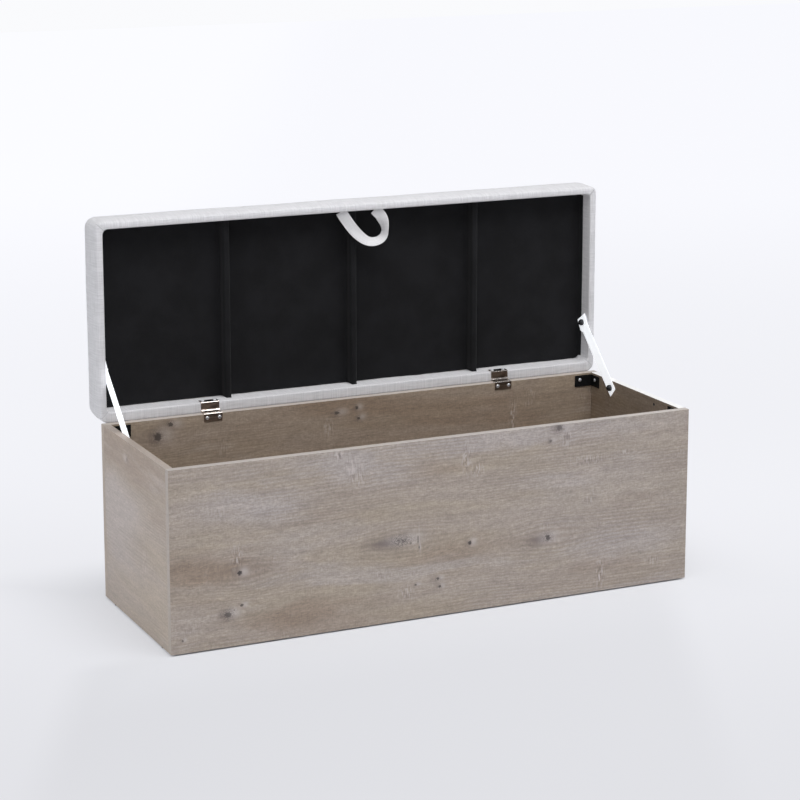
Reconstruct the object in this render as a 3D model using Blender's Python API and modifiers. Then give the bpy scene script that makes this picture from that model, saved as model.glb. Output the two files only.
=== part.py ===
"""Upholstered storage bench, built with its padded lid open at a right angle.

Units are metres. +X runs along the bench, +Y towards its back, +Z up.
The floor is z = 0 and the middle of the whole bench, lid open, is x = y = 0.
"""
import math

import bmesh
import bpy
from mathutils import Matrix, Vector

# Clearance between pieces that touch
GAP = 0.0003

# Box of veneered board
BENCH_LENGTH = 1.200
BOX_DEPTH = 0.418
PANEL_HEIGHT = 0.383
BOARD = 0.016
EDGE_EASE = 0.0005
BASE_THICKNESS = 0.008
BASE_LIFT = 0.020
GROOVE_DEPTH = 0.006
GLIDE_HEIGHT = 0.003
GLIDE_RADIUS = 0.007
GLIDE_INSET = 0.060
DOWEL_RADIUS = 0.004
DOWEL_LENGTH = 0.030
DOWEL_IN_PANEL = 0.010
DOWEL_UP = 0.150

# Steel angle in each upper corner of the box
BRACKET_LONG_LEG = 0.0437
BRACKET_SHORT_LEG = 0.0378
BRACKET_THICKNESS = 0.002
BRACKET_HEIGHT = 0.026
BRACKET_BELOW_TOP = 0.0046
BRACKET_BEND = 0.002
BRACKET_SCREW_BELOW_TOP = 0.0145
BRACKET_SCREW_LONG = 0.032
BRACKET_SCREW_SHORT = 0.021

# Cranked lid hinges
HINGE_CENTRE_OFFSET = 0.3525
HINGE_WIDTH = 0.042
HINGE_CRANK = 0.0161
HINGE_LID_CRANK = 0.0181
HINGE_LEAF = 0.0013
HINGE_RISE = 0.0032
HINGE_PIN_RADIUS = 0.0015
HINGE_BORE_RADIUS = 0.0016
HINGE_BEND = 0.0013
HINGE_FLANGE = 0.0170
HINGE_KNUCKLE_GAP = 0.0004
HINGE_SCREW_SPREAD = 0.014
HINGE_SCREW_IN = 0.0084

# Lid
LID_DEPTH = 0.424
REAR_EDGE_EXTRA = 0.005
REAR_EDGE_FADE = 0.010
LID_THICKNESS = 0.085
RAIL_THICKNESS = 0.012
RAIL_HEIGHT = 0.050
RAIL_EASE = 0.0012
TOP_BOARD = 0.005
FABRIC = 0.001
FABRIC_TURN_IN = 0.045
LID_CORNER = 0.0125
SIDE_BULGE = 0.005
SIDE_HEIGHT = 0.068
CROWN_START = 0.079
FOAM_SKIRT_START = 0.012
SLAT_WIDTH = 0.0105
SLAT_HEIGHT = 0.027
SLAT_SPACING = 0.300
LINER = 0.0009
LINER_HEM_AT = 0.034

# Lid stay straps of white tape
STRAP_LOW_ARM = {"left": 0.1315, "right": 0.1075}
STRAP_HIGH_ARM = {"left": 0.1150, "right": 0.1075}
STRAP_LOW_BELOW_TOP = 0.0174
STRAP_HIGH_IN_LID = 0.024
STRAP_WIDTH = 0.030
STRAP_THICKNESS = 0.0015
STRAP_END = 0.014
TAB_WIDTH = 0.037
TAB_START = -0.017
TAB_END = 0.014
TAB_TURN = math.radians(14)
SPARE_HOLE_RADIUS = 0.0030
SPARE_HOLE_Y = -0.089

# Pull loop of folded fabric
LOOP_WIDTH = 0.025
LOOP_THICKNESS = 0.0016
LOOP_IN_LID = 0.010
LOOP_HALF_WIDTH = 0.070
LOOP_DROP = 0.0717

# Screws
SHANK_RADIUS = 0.00175
SCREW_HEAD_RADIUS = 0.0040
SCREW_HEAD_HEIGHT = 0.0024
SCREW_LENGTH = 0.012
STAY_SHANK_RADIUS = 0.0020
STAY_HEAD_RADIUS = 0.0078
STAY_HEAD_HEIGHT = 0.0092
STAY_LENGTH = 0.0140

# Sizes that follow from the ones above
RIM_WIDTH = RAIL_THICKNESS + 2 * FABRIC + 2 * GAP
PANEL_BOTTOM = GLIDE_HEIGHT + GAP
PANEL_TOP = PANEL_BOTTOM + PANEL_HEIGHT
HALF_LENGTH = BENCH_LENGTH / 2
HALF_DEPTH = BOX_DEPTH / 2
INNER_X = HALF_LENGTH - BOARD
INNER_Y = HALF_DEPTH - BOARD
AXIS_Y = INNER_Y + HINGE_CRANK - GAP
AXIS_Z = PANEL_TOP + HINGE_RISE
RIM_START = HINGE_LID_CRANK - GAP - RIM_WIDTH
RAIL_TOP = FABRIC + GAP + RAIL_HEIGHT
BOARD_TOP = RAIL_TOP + GAP + TOP_BOARD
LINER_FACE = RAIL_TOP - LINER
SLAT_FACE = RAIL_TOP - SLAT_HEIGHT
REAR_Y = AXIS_Y + HINGE_RISE + LID_THICKNESS
SHIFT_Y = -(REAR_Y - HALF_DEPTH) / 2


def clear_scene():
    """Start from an empty file."""
    for item in list(bpy.data.objects):
        bpy.data.objects.remove(item, do_unlink=True)


def make_material(name, colour, roughness, metallic=0.0):
    """One plain Principled material."""
    material = bpy.data.materials.new(name)
    material.use_nodes = True
    shader = material.node_tree.nodes["Principled BSDF"]
    shader.inputs["Base Color"].default_value = (*colour, 1.0)
    shader.inputs["Roughness"].default_value = roughness
    shader.inputs["Metallic"].default_value = metallic
    return material


def make_frame(name, location):
    """An empty that carries the pieces of one moving body."""
    frame = bpy.data.objects.new(name, None)
    frame.empty_display_size = 0.05
    frame.location = location
    PARTS.objects.link(frame)
    return frame


def add_block(shape, low, high):
    """Add a rectangular block given by two opposite corners."""
    low = Vector(low)
    high = Vector(high)
    size = high - low
    place = Matrix.Translation((low + high) / 2) @ Matrix.Diagonal((*size, 1.0))
    bmesh.ops.create_cube(shape, size=1.0, matrix=place)


def add_rod(shape, start, end, radius, sides=12):
    """Add a cylinder between two points."""
    start = Vector(start)
    end = Vector(end)
    axis = end - start
    turn = axis.to_track_quat("Z", "Y").to_matrix().to_4x4()
    place = Matrix.Translation((start + end) / 2) @ turn
    bmesh.ops.create_cone(
        shape, cap_ends=True, segments=sides, radius1=radius, radius2=radius,
        depth=axis.length, matrix=place)


def add_prism(shape, outline, along, low, high):
    """Extrude a flat outline along X, Y or Z, from low to high."""
    def place(point, level):
        values = [point[0], point[1]]
        values.insert("XYZ".index(along), level)
        return Vector(values)

    lower = [shape.verts.new(place(point, low)) for point in outline]
    upper = [shape.verts.new(place(point, high)) for point in outline]
    count = len(outline)
    faces = [shape.faces.new(lower), shape.faces.new(upper)]
    for index in range(count):
        after = (index + 1) % count
        faces.append(shape.faces.new((lower[index], lower[after], upper[after], upper[index])))
    bmesh.ops.recalc_face_normals(shape, faces=faces)


def finish_mesh(name, shape, smooth_angle=None):
    """Turn the bmesh into a mesh, rounded surfaces shaded smooth."""
    mesh = bpy.data.meshes.new(name)
    bmesh.ops.recalc_face_normals(shape, faces=shape.faces[:])
    shape.to_mesh(mesh)
    shape.free()
    if smooth_angle:
        mesh.shade_smooth()
        mesh.set_sharp_from_angle(angle=math.radians(smooth_angle))
    return mesh


def make_part(name, mesh, material, parent, location=(0, 0, 0), turn=None):
    """One named piece of the bench."""
    part = bpy.data.objects.new(name, mesh)
    if not mesh.materials:
        mesh.materials.append(material)
    PARTS.objects.link(part)
    part.parent = parent
    part.location = location
    if turn is not None:
        part.rotation_mode = "QUATERNION"
        part.rotation_quaternion = turn
    return part


def add_bevel(part, width, segments=1):
    """Ease the edges of a block."""
    bevel = part.modifiers.new("eased edges", "BEVEL")
    bevel.width = width
    bevel.segments = segments
    bevel.limit_method = "ANGLE"
    bevel.angle_limit = math.radians(40)


def cut(part, shape):
    """Take a shape, given in the parent's frame, out of a piece."""
    cutter = bpy.data.objects.new("cut_" + part.name, finish_mesh("cut_" + part.name, shape))
    CUTTERS.objects.link(cutter)
    cutter.parent = part.parent
    cutter.hide_render = True
    cutter.display_type = "WIRE"
    boolean = part.modifiers.new("cut", "BOOLEAN")
    boolean.operation = "DIFFERENCE"
    boolean.solver = "EXACT"
    boolean.object = cutter


def make_block(name, low, high, material, parent, ease=EDGE_EASE, segments=1):
    """A rectangular piece with its origin in its middle."""
    low = Vector(low)
    high = Vector(high)
    middle = (low + high) / 2
    shape = bmesh.new()
    add_block(shape, low - middle, high - middle)
    part = make_part(name, finish_mesh(name, shape), material, parent, middle)
    if ease:
        add_bevel(part, ease, segments)
    return part


def bake(part):
    """Evaluate a piece's modifiers into a mesh that copies can share."""
    bpy.context.view_layer.update()
    depsgraph = bpy.context.evaluated_depsgraph_get()
    mesh = bpy.data.meshes.new_from_object(part.evaluated_get(depsgraph))
    bpy.data.objects.remove(part, do_unlink=True)
    return mesh


def arc(centre, radius, start, end, steps):
    """Points on an arc, angles in degrees."""
    points = []
    for step in range(steps + 1):
        angle = math.radians(start + (end - start) * step / steps)
        offset = Vector((math.cos(angle), math.sin(angle))) * radius
        points.append(Vector(centre) + offset)
    return points


def sheet_section(middle, thickness):
    """Outline of a bent sheet that follows a line through its thickness."""
    near = []
    far = []
    last = len(middle) - 1
    for index, point in enumerate(middle):
        before = (point - middle[index - 1]).normalized() if index else None
        after = (middle[index + 1] - point).normalized() if index < last else None
        before = before or after
        after = after or before
        along = (before + after).normalized()
        side = Vector((-along.y, along.x))
        reach = thickness / 2 / max(along.dot(after), 0.3)
        near.append(point + side * reach)
        far.append(point - side * reach)
    return near + far[::-1]


def turned(name, profile, steps):
    """A turned piece from a half profile that runs from the top down."""
    mesh = bpy.data.meshes.new(name)
    mesh.from_pydata([(x, 0.0, z) for x, z in profile],
                     [(i, i + 1) for i in range(len(profile) - 1)], [])
    part = bpy.data.objects.new(name, mesh)
    PARTS.objects.link(part)
    screw = part.modifiers.new("turned", "SCREW")
    screw.axis = "Z"
    screw.angle = math.tau
    screw.steps = steps
    screw.render_steps = steps
    screw.use_merge_vertices = True
    screw.merge_threshold = 0.00001
    return part


def make_screw_mesh(name, head, rise, shank, length, steps, slot, material):
    """A round-head screw with a cross recess, its head resting at z = 0."""
    dome = []
    edge = rise * 0.25
    for step in range(5):
        angle = math.radians(90 - 18 * step)
        dome.append((head * math.cos(angle), edge + (rise - edge) * math.sin(angle)))
    dome[0] = (0.0, rise)
    dome.append((head * 0.985, edge * 0.6))
    tip = shank * 1.2
    profile = dome + [(head * 0.95, 0.0), (shank, 0.0), (shank, -length + tip), (0.0, -length)]
    part = turned(name, profile, steps)
    half = slot / 2
    arm = head * 0.58
    outline = [
        (half, half), (half, arm), (-half, arm), (-half, half), (-arm, half), (-arm, -half),
        (-half, -half), (-half, -arm), (half, -arm), (half, -half), (arm, -half), (arm, half)]
    shape = bmesh.new()
    add_prism(shape, outline, "Z", rise * 0.52, rise * 1.5)
    cut(part, shape)
    cutter = part.modifiers["cut"].object
    mesh = bake(part)
    bpy.data.objects.remove(cutter, do_unlink=True)
    mesh.name = name
    mesh.materials.append(material)
    mesh.shade_smooth()
    mesh.set_sharp_from_angle(angle=math.radians(35))
    return mesh


def facing(direction):
    """Turn that points a screw's head along a direction."""
    return Vector(direction).to_track_quat("Z", "Y")


def strap_ends(side):
    """Where one strap's lower and upper screws stand: depth and height."""
    name = "left" if side < 0 else "right"
    low = Vector((AXIS_Y - STRAP_LOW_ARM[name], PANEL_TOP - STRAP_LOW_BELOW_TOP))
    high = Vector((AXIS_Y + HINGE_RISE + STRAP_HIGH_IN_LID, AXIS_Z + STRAP_HIGH_ARM[name]))
    return low, high


# Box panels
def build_box():
    """Four panels round a base that sits in grooves."""
    low = PANEL_BOTTOM
    top = PANEL_TOP
    base_low = low + BASE_LIFT
    base_top = base_low + BASE_THICKNESS
    groove_x = INNER_X + GROOVE_DEPTH
    groove_y = INNER_Y + GROOVE_DEPTH
    dowel_x = HALF_LENGTH - BOARD / 2
    dowel_z = low + DOWEL_UP
    dowel_start = INNER_Y + DOWEL_IN_PANEL
    dowel_end = dowel_start - DOWEL_LENGTH

    for name, side in (("front_panel", -1), ("back_panel", 1)):
        panel = make_block(
            name, (-HALF_LENGTH, min(side * INNER_Y, side * HALF_DEPTH), low),
            (HALF_LENGTH, max(side * INNER_Y, side * HALF_DEPTH), top), WOOD, BOX)
        shape = bmesh.new()
        inside = side * (INNER_Y - 0.001)
        groove = side * groove_y
        add_block(shape, (-groove_x, min(inside, groove), base_low - GAP),
                  (groove_x, max(inside, groove), base_top + GAP))
        for end in (-1, 1):
            add_rod(shape, (end * dowel_x, inside, dowel_z),
                    (end * dowel_x, side * (dowel_start + 0.001), dowel_z), DOWEL_RADIUS + GAP)
            spot = SCREW_SPOTS[("x", end, side)]
            add_rod(shape, (spot[0], inside, spot[2]),
                    (spot[0], side * (INNER_Y + SCREW_LENGTH), spot[2]), SHANK_RADIUS + GAP)
            if side > 0:
                for spread in (-1, 1):
                    x = end * HINGE_CENTRE_OFFSET + spread * HINGE_SCREW_SPREAD
                    z = top - HINGE_SCREW_IN
                    add_rod(shape, (x, inside, z),
                            (x, INNER_Y + SCREW_LENGTH, z), SHANK_RADIUS + GAP)
        cut(panel, shape)

    side_end = INNER_Y - GAP
    for name, side in (("left_side_panel", -1), ("right_side_panel", 1)):
        panel = make_block(
            name, (min(side * INNER_X, side * HALF_LENGTH), -side_end, low),
            (max(side * INNER_X, side * HALF_LENGTH), side_end, top), WOOD, BOX)
        shape = bmesh.new()
        inside = side * (INNER_X - 0.001)
        groove = side * groove_x
        add_block(shape, (min(inside, groove), -HALF_DEPTH, base_low - GAP),
                  (max(inside, groove), HALF_DEPTH, base_top + GAP))
        for end in (-1, 1):
            add_rod(shape, (side * dowel_x, end * (INNER_Y + 0.001), dowel_z),
                    (side * dowel_x, end * (dowel_end - 0.001), dowel_z), DOWEL_RADIUS + GAP)
            spot = SCREW_SPOTS[("y", side, end)]
            add_rod(shape, (inside, spot[1], spot[2]),
                    (side * (INNER_X + SCREW_LENGTH), spot[1], spot[2]), SHANK_RADIUS + GAP)
            add_rod(shape, (side * dowel_x, end * (HALF_DEPTH - GLIDE_INSET), low - 0.001),
                    (side * dowel_x, end * (HALF_DEPTH - GLIDE_INSET), low + 0.011),
                    SHANK_RADIUS + GAP)
        strap = strap_ends(side)[0]
        add_rod(shape, (inside, strap.x, strap.y),
                (side * (INNER_X + STAY_LENGTH - 0.0010), strap.x, strap.y),
                STAY_SHANK_RADIUS + GAP)
        add_rod(shape, (inside, SPARE_HOLE_Y, top - BRACKET_SCREW_BELOW_TOP),
                (side * (INNER_X + 0.010), SPARE_HOLE_Y, top - BRACKET_SCREW_BELOW_TOP),
                SPARE_HOLE_RADIUS)
        cut(panel, shape)

    edge_x = groove_x - GAP
    edge_y = groove_y - GAP
    make_block("base_panel", (-edge_x, -edge_y, base_low), (edge_x, edge_y, base_top), WOOD, BOX)

    shape = bmesh.new()
    add_rod(shape, (0, -DOWEL_LENGTH / 2, 0), (0, DOWEL_LENGTH / 2, 0), DOWEL_RADIUS)
    dowel = finish_mesh("dowel", shape, 40)
    glide = [(0.0, 0.010), (SHANK_RADIUS, 0.010), (SHANK_RADIUS, 0.0), (GLIDE_RADIUS, 0.0),
             (GLIDE_RADIUS, -GLIDE_HEIGHT + 0.001), (GLIDE_RADIUS - 0.001, -GLIDE_HEIGHT),
             (0.0, -GLIDE_HEIGHT)]
    glide = bake(turned("glide", glide, 16))
    glide.shade_smooth()
    glide.set_sharp_from_angle(angle=math.radians(35))
    for end, row in CORNERS:
        where = CORNER_NAMES[(end, row)]
        make_part("dowel_" + where, dowel, BEECH, BOX,
                  (end * dowel_x, row * (dowel_start + dowel_end) / 2, dowel_z))
        make_part("glide_" + where, glide, PLASTIC, BOX,
                  (end * dowel_x, row * (HALF_DEPTH - GLIDE_INSET), GLIDE_HEIGHT))


# Corner brackets
def bracket_legs(row):
    """Long leg on the back panel behind, and on the side panel in front."""
    if row > 0:
        return (BRACKET_LONG_LEG, BRACKET_SCREW_LONG), (BRACKET_SHORT_LEG, BRACKET_SCREW_SHORT)
    return (BRACKET_SHORT_LEG, BRACKET_SCREW_SHORT), (BRACKET_LONG_LEG, BRACKET_SCREW_LONG)


def find_bracket_screws():
    """Where each bracket screw meets its panel."""
    spots = {}
    z = PANEL_TOP - BRACKET_SCREW_BELOW_TOP
    for end, row in CORNERS:
        along_x, along_y = bracket_legs(row)
        spots[("x", end, row)] = (end * (INNER_X - along_x[1]), row * INNER_Y, z)
        spots[("y", end, row)] = (end * INNER_X, row * (INNER_Y - along_y[1]), z)
    return spots


def build_brackets():
    """A bent steel angle and two screws in each upper corner."""
    sink = GAP + BRACKET_THICKNESS / 2
    top = PANEL_TOP - BRACKET_BELOW_TOP
    out = GAP + BRACKET_THICKNESS
    for end, row in CORNERS:
        where = CORNER_NAMES[(end, row)]
        along_x, along_y = bracket_legs(row)
        x = INNER_X - sink
        y = INNER_Y - sink
        line = [Vector((INNER_X - along_x[0], y))]
        line += arc((x - BRACKET_BEND, y - BRACKET_BEND), BRACKET_BEND, 90, 0, 4)
        line += [Vector((x, INNER_Y - along_y[0]))]
        line = [Vector((point.x * end, point.y * row)) for point in line]
        shape = bmesh.new()
        outline = sheet_section(line, BRACKET_THICKNESS)
        add_prism(shape, outline, "Z", top - BRACKET_HEIGHT, top)
        bracket = make_part("bracket_" + where, finish_mesh("bracket", shape, 40), BLACK_STEEL, BOX)
        spot_x = SCREW_SPOTS[("x", end, row)]
        spot_y = SCREW_SPOTS[("y", end, row)]
        shape = bmesh.new()
        add_rod(shape, (spot_x[0], row * (INNER_Y + 0.001), spot_x[2]),
                (spot_x[0], row * (INNER_Y - out - 0.001), spot_x[2]), SHANK_RADIUS + GAP)
        add_rod(shape, (end * (INNER_X + 0.001), spot_y[1], spot_y[2]),
                (end * (INNER_X - out - 0.001), spot_y[1], spot_y[2]), SHANK_RADIUS + GAP)
        cut(bracket, shape)
        seat = out + GAP
        make_part("bracket_screw_%s_a" % where, ZINC_SCREW, ZINC, BOX,
                  (spot_x[0], row * (INNER_Y - seat), spot_x[2]), facing((0, -row, 0)))
        make_part("bracket_screw_%s_b" % where, ZINC_SCREW, ZINC, BOX,
                  (end * (INNER_X - seat), spot_y[1], spot_y[2]), facing((-end, 0, 0)))


# Cranked hinges
def leaf_line(crank):
    """Line through the box leaf: screw flange, crank over the edge, curl round the pin."""
    knuckle = HINGE_BORE_RADIUS + HINGE_LEAF / 2
    flange_y = -crank - HINGE_LEAF / 2
    tip = Vector((flange_y, -HINGE_RISE - HINGE_FLANGE))
    bend = arc((flange_y + HINGE_BEND, -knuckle - HINGE_BEND), HINGE_BEND, 180, 90, 4)
    curl = arc((0, 0), knuckle, -90, 200, 14)
    return [tip] + bend + curl


def knuckle_edges():
    """Ends of the five knuckles along the pin."""
    pitch = (HINGE_WIDTH + HINGE_KNUCKLE_GAP) / 5
    length = pitch - HINGE_KNUCKLE_GAP
    starts = [-HINGE_WIDTH / 2 + pitch * index for index in range(5)]
    return [(start, start + length) for start in starts]


def build_hinges():
    """Two hinges, each of two cranked leaves rolled round one pin.

    The lid's leaf is the box's leaf mirrored, with a slightly longer crank, so
    the flanges come to lie one above the other as the lid shuts.
    """
    box_outline = sheet_section(leaf_line(HINGE_CRANK), HINGE_LEAF)
    lid_line = [Vector((-p.y, -p.x)) for p in leaf_line(HINGE_LID_CRANK)]
    lid_outline = sheet_section(lid_line, HINGE_LEAF)
    reach = HINGE_BORE_RADIUS + HINGE_LEAF + HINGE_KNUCKLE_GAP
    edges = knuckle_edges()
    over = 0.002
    box_seat = HINGE_CRANK + HINGE_LEAF + GAP
    lid_seat = HINGE_LID_CRANK + HINGE_LEAF + GAP
    screw_z = -HINGE_RISE - HINGE_SCREW_IN

    box_cut = bmesh.new()
    lid_cut = bmesh.new()
    for index, (start, end) in enumerate(edges):
        low = start - HINGE_KNUCKLE_GAP
        high = end + HINGE_KNUCKLE_GAP
        if index % 2:
            add_block(box_cut, (low, -reach, -reach - over), (high, reach + over, reach + over))
        else:
            low -= over if index == 0 else 0
            high += over if index == 4 else 0
            add_block(lid_cut, (low, -reach - over, -reach - over), (high, reach + over, reach))
    for spread in (-1, 1):
        x = spread * HINGE_SCREW_SPREAD
        add_rod(box_cut, (x, -box_seat - over, screw_z), (x, -HINGE_CRANK + over, screw_z),
                SHANK_RADIUS + GAP)
        add_rod(lid_cut, (x, -screw_z, lid_seat + over), (x, -screw_z, HINGE_LID_CRANK - over),
                SHANK_RADIUS + GAP)

    leaves = []
    for name, outline, cutter in (("box_leaf", box_outline, box_cut),
                                  ("lid_leaf", lid_outline, lid_cut)):
        shape = bmesh.new()
        add_prism(shape, outline, "X", -HINGE_WIDTH / 2, HINGE_WIDTH / 2)
        part = make_part(name, finish_mesh(name, shape), NICKEL, None)
        cut(part, cutter)
        helper = part.modifiers["cut"].object
        mesh = bake(part)
        bpy.data.objects.remove(helper, do_unlink=True)
        mesh.shade_smooth()
        mesh.set_sharp_from_angle(angle=math.radians(35))
        leaves.append(mesh)

    pin = bmesh.new()
    half = HINGE_WIDTH / 2 + 0.0004
    add_rod(pin, (-half, 0, 0), (half, 0, 0), HINGE_PIN_RADIUS, 16)
    pin = finish_mesh("hinge_pin", pin, 40)

    for where, end in (("left", -1), ("right", 1)):
        x = end * HINGE_CENTRE_OFFSET
        make_part("hinge_box_leaf_" + where, leaves[0], NICKEL, BOX, (x, AXIS_Y, AXIS_Z))
        make_part("hinge_pin_" + where, pin, NICKEL, BOX, (x, AXIS_Y, AXIS_Z))
        make_part("hinge_lid_leaf_" + where, leaves[1], NICKEL, LID, (x, 0, 0))
        for letter, spread in (("a", -1), ("b", 1)):
            screw_x = x + spread * HINGE_SCREW_SPREAD
            make_part("hinge_box_screw_%s_%s" % (where, letter), NICKEL_SCREW, NICKEL, BOX,
                      (screw_x, AXIS_Y - box_seat, AXIS_Z + screw_z), facing((0, -1, 0)))
            make_part("hinge_lid_screw_%s_%s" % (where, letter), NICKEL_SCREW, NICKEL, LID,
                      (screw_x, -screw_z, lid_seat), facing((0, 0, 1)))


# Lid: everything below is given in the lid's own frame, on the hinge axis
def lid_spot(x, in_from_rear, up_from_rim):
    """Point in the lid: across, forward from its hinged edge, and in from the rim."""
    return Vector((x, HINGE_RISE + up_from_rim, RIM_START + in_from_rear))


def lid_block(name, low, high, material, ease, segments=1):
    """A rectangular piece of the lid."""
    return make_block(name, lid_spot(*low), lid_spot(*high), material, LID, ease, segments)


def rear_extra(inset):
    """How much further the padded rear edge reaches than the other edges."""
    return REAR_EDGE_EXTRA * (1 - min(max((inset - FABRIC - GAP) / REAR_EDGE_FADE, 0), 1))


def ring(inset, level, corner):
    """Rounded rectangle that follows the lid's outline at one level."""
    corner = max(corner, 0.0003)
    points = []
    half = HALF_LENGTH - inset
    extra = rear_extra(inset)
    near = inset - extra
    far = LID_DEPTH - inset
    rear = corner + extra
    centres = ((half - corner, far - corner, corner, 0), (-half + corner, far - corner, corner, 90),
               (-half + rear, near + rear, rear, 180), (half - rear, near + rear, rear, 270))
    for x, v, radius, start in centres:
        for point in arc((x, v), radius, start, start + 90, 4):
            points.append(lid_spot(point.x, point.y, level))
    return points


def skin(shape, rings):
    """Join a run of rings into one skin and close both ends."""
    rows = [[shape.verts.new(point) for point in points] for points in rings]
    count = len(rows[0])
    for lower, upper in zip(rows, rows[1:]):
        for index in range(count):
            after = (index + 1) % count
            shape.faces.new((lower[index], lower[after], upper[after], upper[index]))
    shape.faces.new(rows[0])
    shape.faces.new(rows[-1])
    bmesh.ops.recalc_face_normals(shape, faces=shape.faces[:])


def lid_profile():
    """Outside of the lid from its rim over the side to the crown: inset, level."""
    side = SIDE_HEIGHT
    crown = CROWN_START
    top = LID_THICKNESS
    bulge = SIDE_BULGE
    rise = top - crown
    return [
        (-0.22 * bulge, 0.07 * side), (-0.55 * bulge, 0.19 * side), (-0.86 * bulge, 0.37 * side),
        (-bulge, 0.57 * side), (-0.97 * bulge, 0.78 * side), (-0.80 * bulge, 0.92 * side),
        (-0.36 * bulge, side + 0.25 * (crown - side)), (0.7 * bulge, side + 0.62 * (crown - side)),
        (2.1 * bulge, side + 0.86 * (crown - side)), (4.2 * bulge, crown),
        (0.040, crown + 0.34 * rise), (0.075, crown + 0.64 * rise),
        (0.120, crown + 0.87 * rise), (0.165, top)]


def corner_at(inset):
    """Plan radius of the lid's corner, growing softly towards the crown."""
    if inset <= 0:
        return LID_CORNER - inset
    return LID_CORNER + 0.35 * inset


def build_lid_frame():
    """Four rails under a thin board, with three slats set on edge below it."""
    edge = FABRIC + GAP
    inner = edge + RAIL_THICKNESS
    half = HALF_LENGTH - edge
    for name, outer, way, extra in (("lid_rail_rear", edge, 1, REAR_EDGE_EXTRA),
                                    ("lid_rail_front", LID_DEPTH - edge, -1, 0.0)):
        turn = LID_CORNER - edge + extra
        quarter = arc((half - turn, 0), turn, 0, 90, 4)
        inside = outer + way * RAIL_THICKNESS
        outer -= way * extra
        right = [(point.x, outer + way * (turn - point.y)) for point in quarter]
        outline = [(half, inside)] + right
        outline += [(-x, v) for x, v in right[::-1]] + [(-half, inside)]
        shape = bmesh.new()
        add_prism(shape, [(x, RIM_START + v) for x, v in outline], "Y",
                  HINGE_RISE + edge, HINGE_RISE + RAIL_TOP)
        part = make_part(name, finish_mesh(name, shape), TIMBER, LID)
        add_bevel(part, RAIL_EASE, 2)
        if way > 0:
            shape = bmesh.new()
            hinge_screw_rods(shape, SCREW_LENGTH + 0.0005)
            cut(part, shape)
    for name, side in (("lid_rail_left", -1), ("lid_rail_right", 1)):
        x = sorted((side * half, side * (half - RAIL_THICKNESS)))
        part = lid_block(name, (x[0], inner + GAP, edge), (x[1], LID_DEPTH - inner - GAP, RAIL_TOP),
                         TIMBER, RAIL_EASE, 2)
        shape = bmesh.new()
        stay_rod(shape, side, STAY_LENGTH + 0.0005)
        cut(part, shape)
    slat_low = RIM_WIDTH + GAP
    for name, x in SLATS:
        lid_block(name, (x - SLAT_WIDTH / 2, slat_low, SLAT_FACE),
                  (x + SLAT_WIDTH / 2, LID_DEPTH - slat_low, RAIL_TOP), TIMBER, EDGE_EASE)

    shape = bmesh.new()
    low = ring(edge, RAIL_TOP + GAP, turn)
    high = ring(edge, BOARD_TOP, turn)
    skin(shape, [low, high])
    make_part("lid_board", finish_mesh("lid_board", shape), TIMBER, LID)


def hinge_screw_rods(shape, depth):
    """Rods round the hinge screws that go into the lid."""
    start = HINGE_LID_CRANK + HINGE_LEAF + GAP
    y = HINGE_RISE + HINGE_SCREW_IN
    for end in (-1, 1):
        for spread in (-1, 1):
            x = end * HINGE_CENTRE_OFFSET + spread * HINGE_SCREW_SPREAD
            add_rod(shape, (x, y, start), (x, y, start - depth), SHANK_RADIUS + GAP)


def stay_rod(shape, side, depth):
    """Rod round the stay screw that goes into a lid rail."""
    start = INNER_X - STRAP_THICKNESS - 2 * GAP
    high = strap_ends(side)[1]
    y = high.x - AXIS_Y
    z = high.y - AXIS_Z
    add_rod(shape, (side * start, y, z), (side * (start + depth), y, z),
            STAY_SHANK_RADIUS + GAP)


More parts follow.
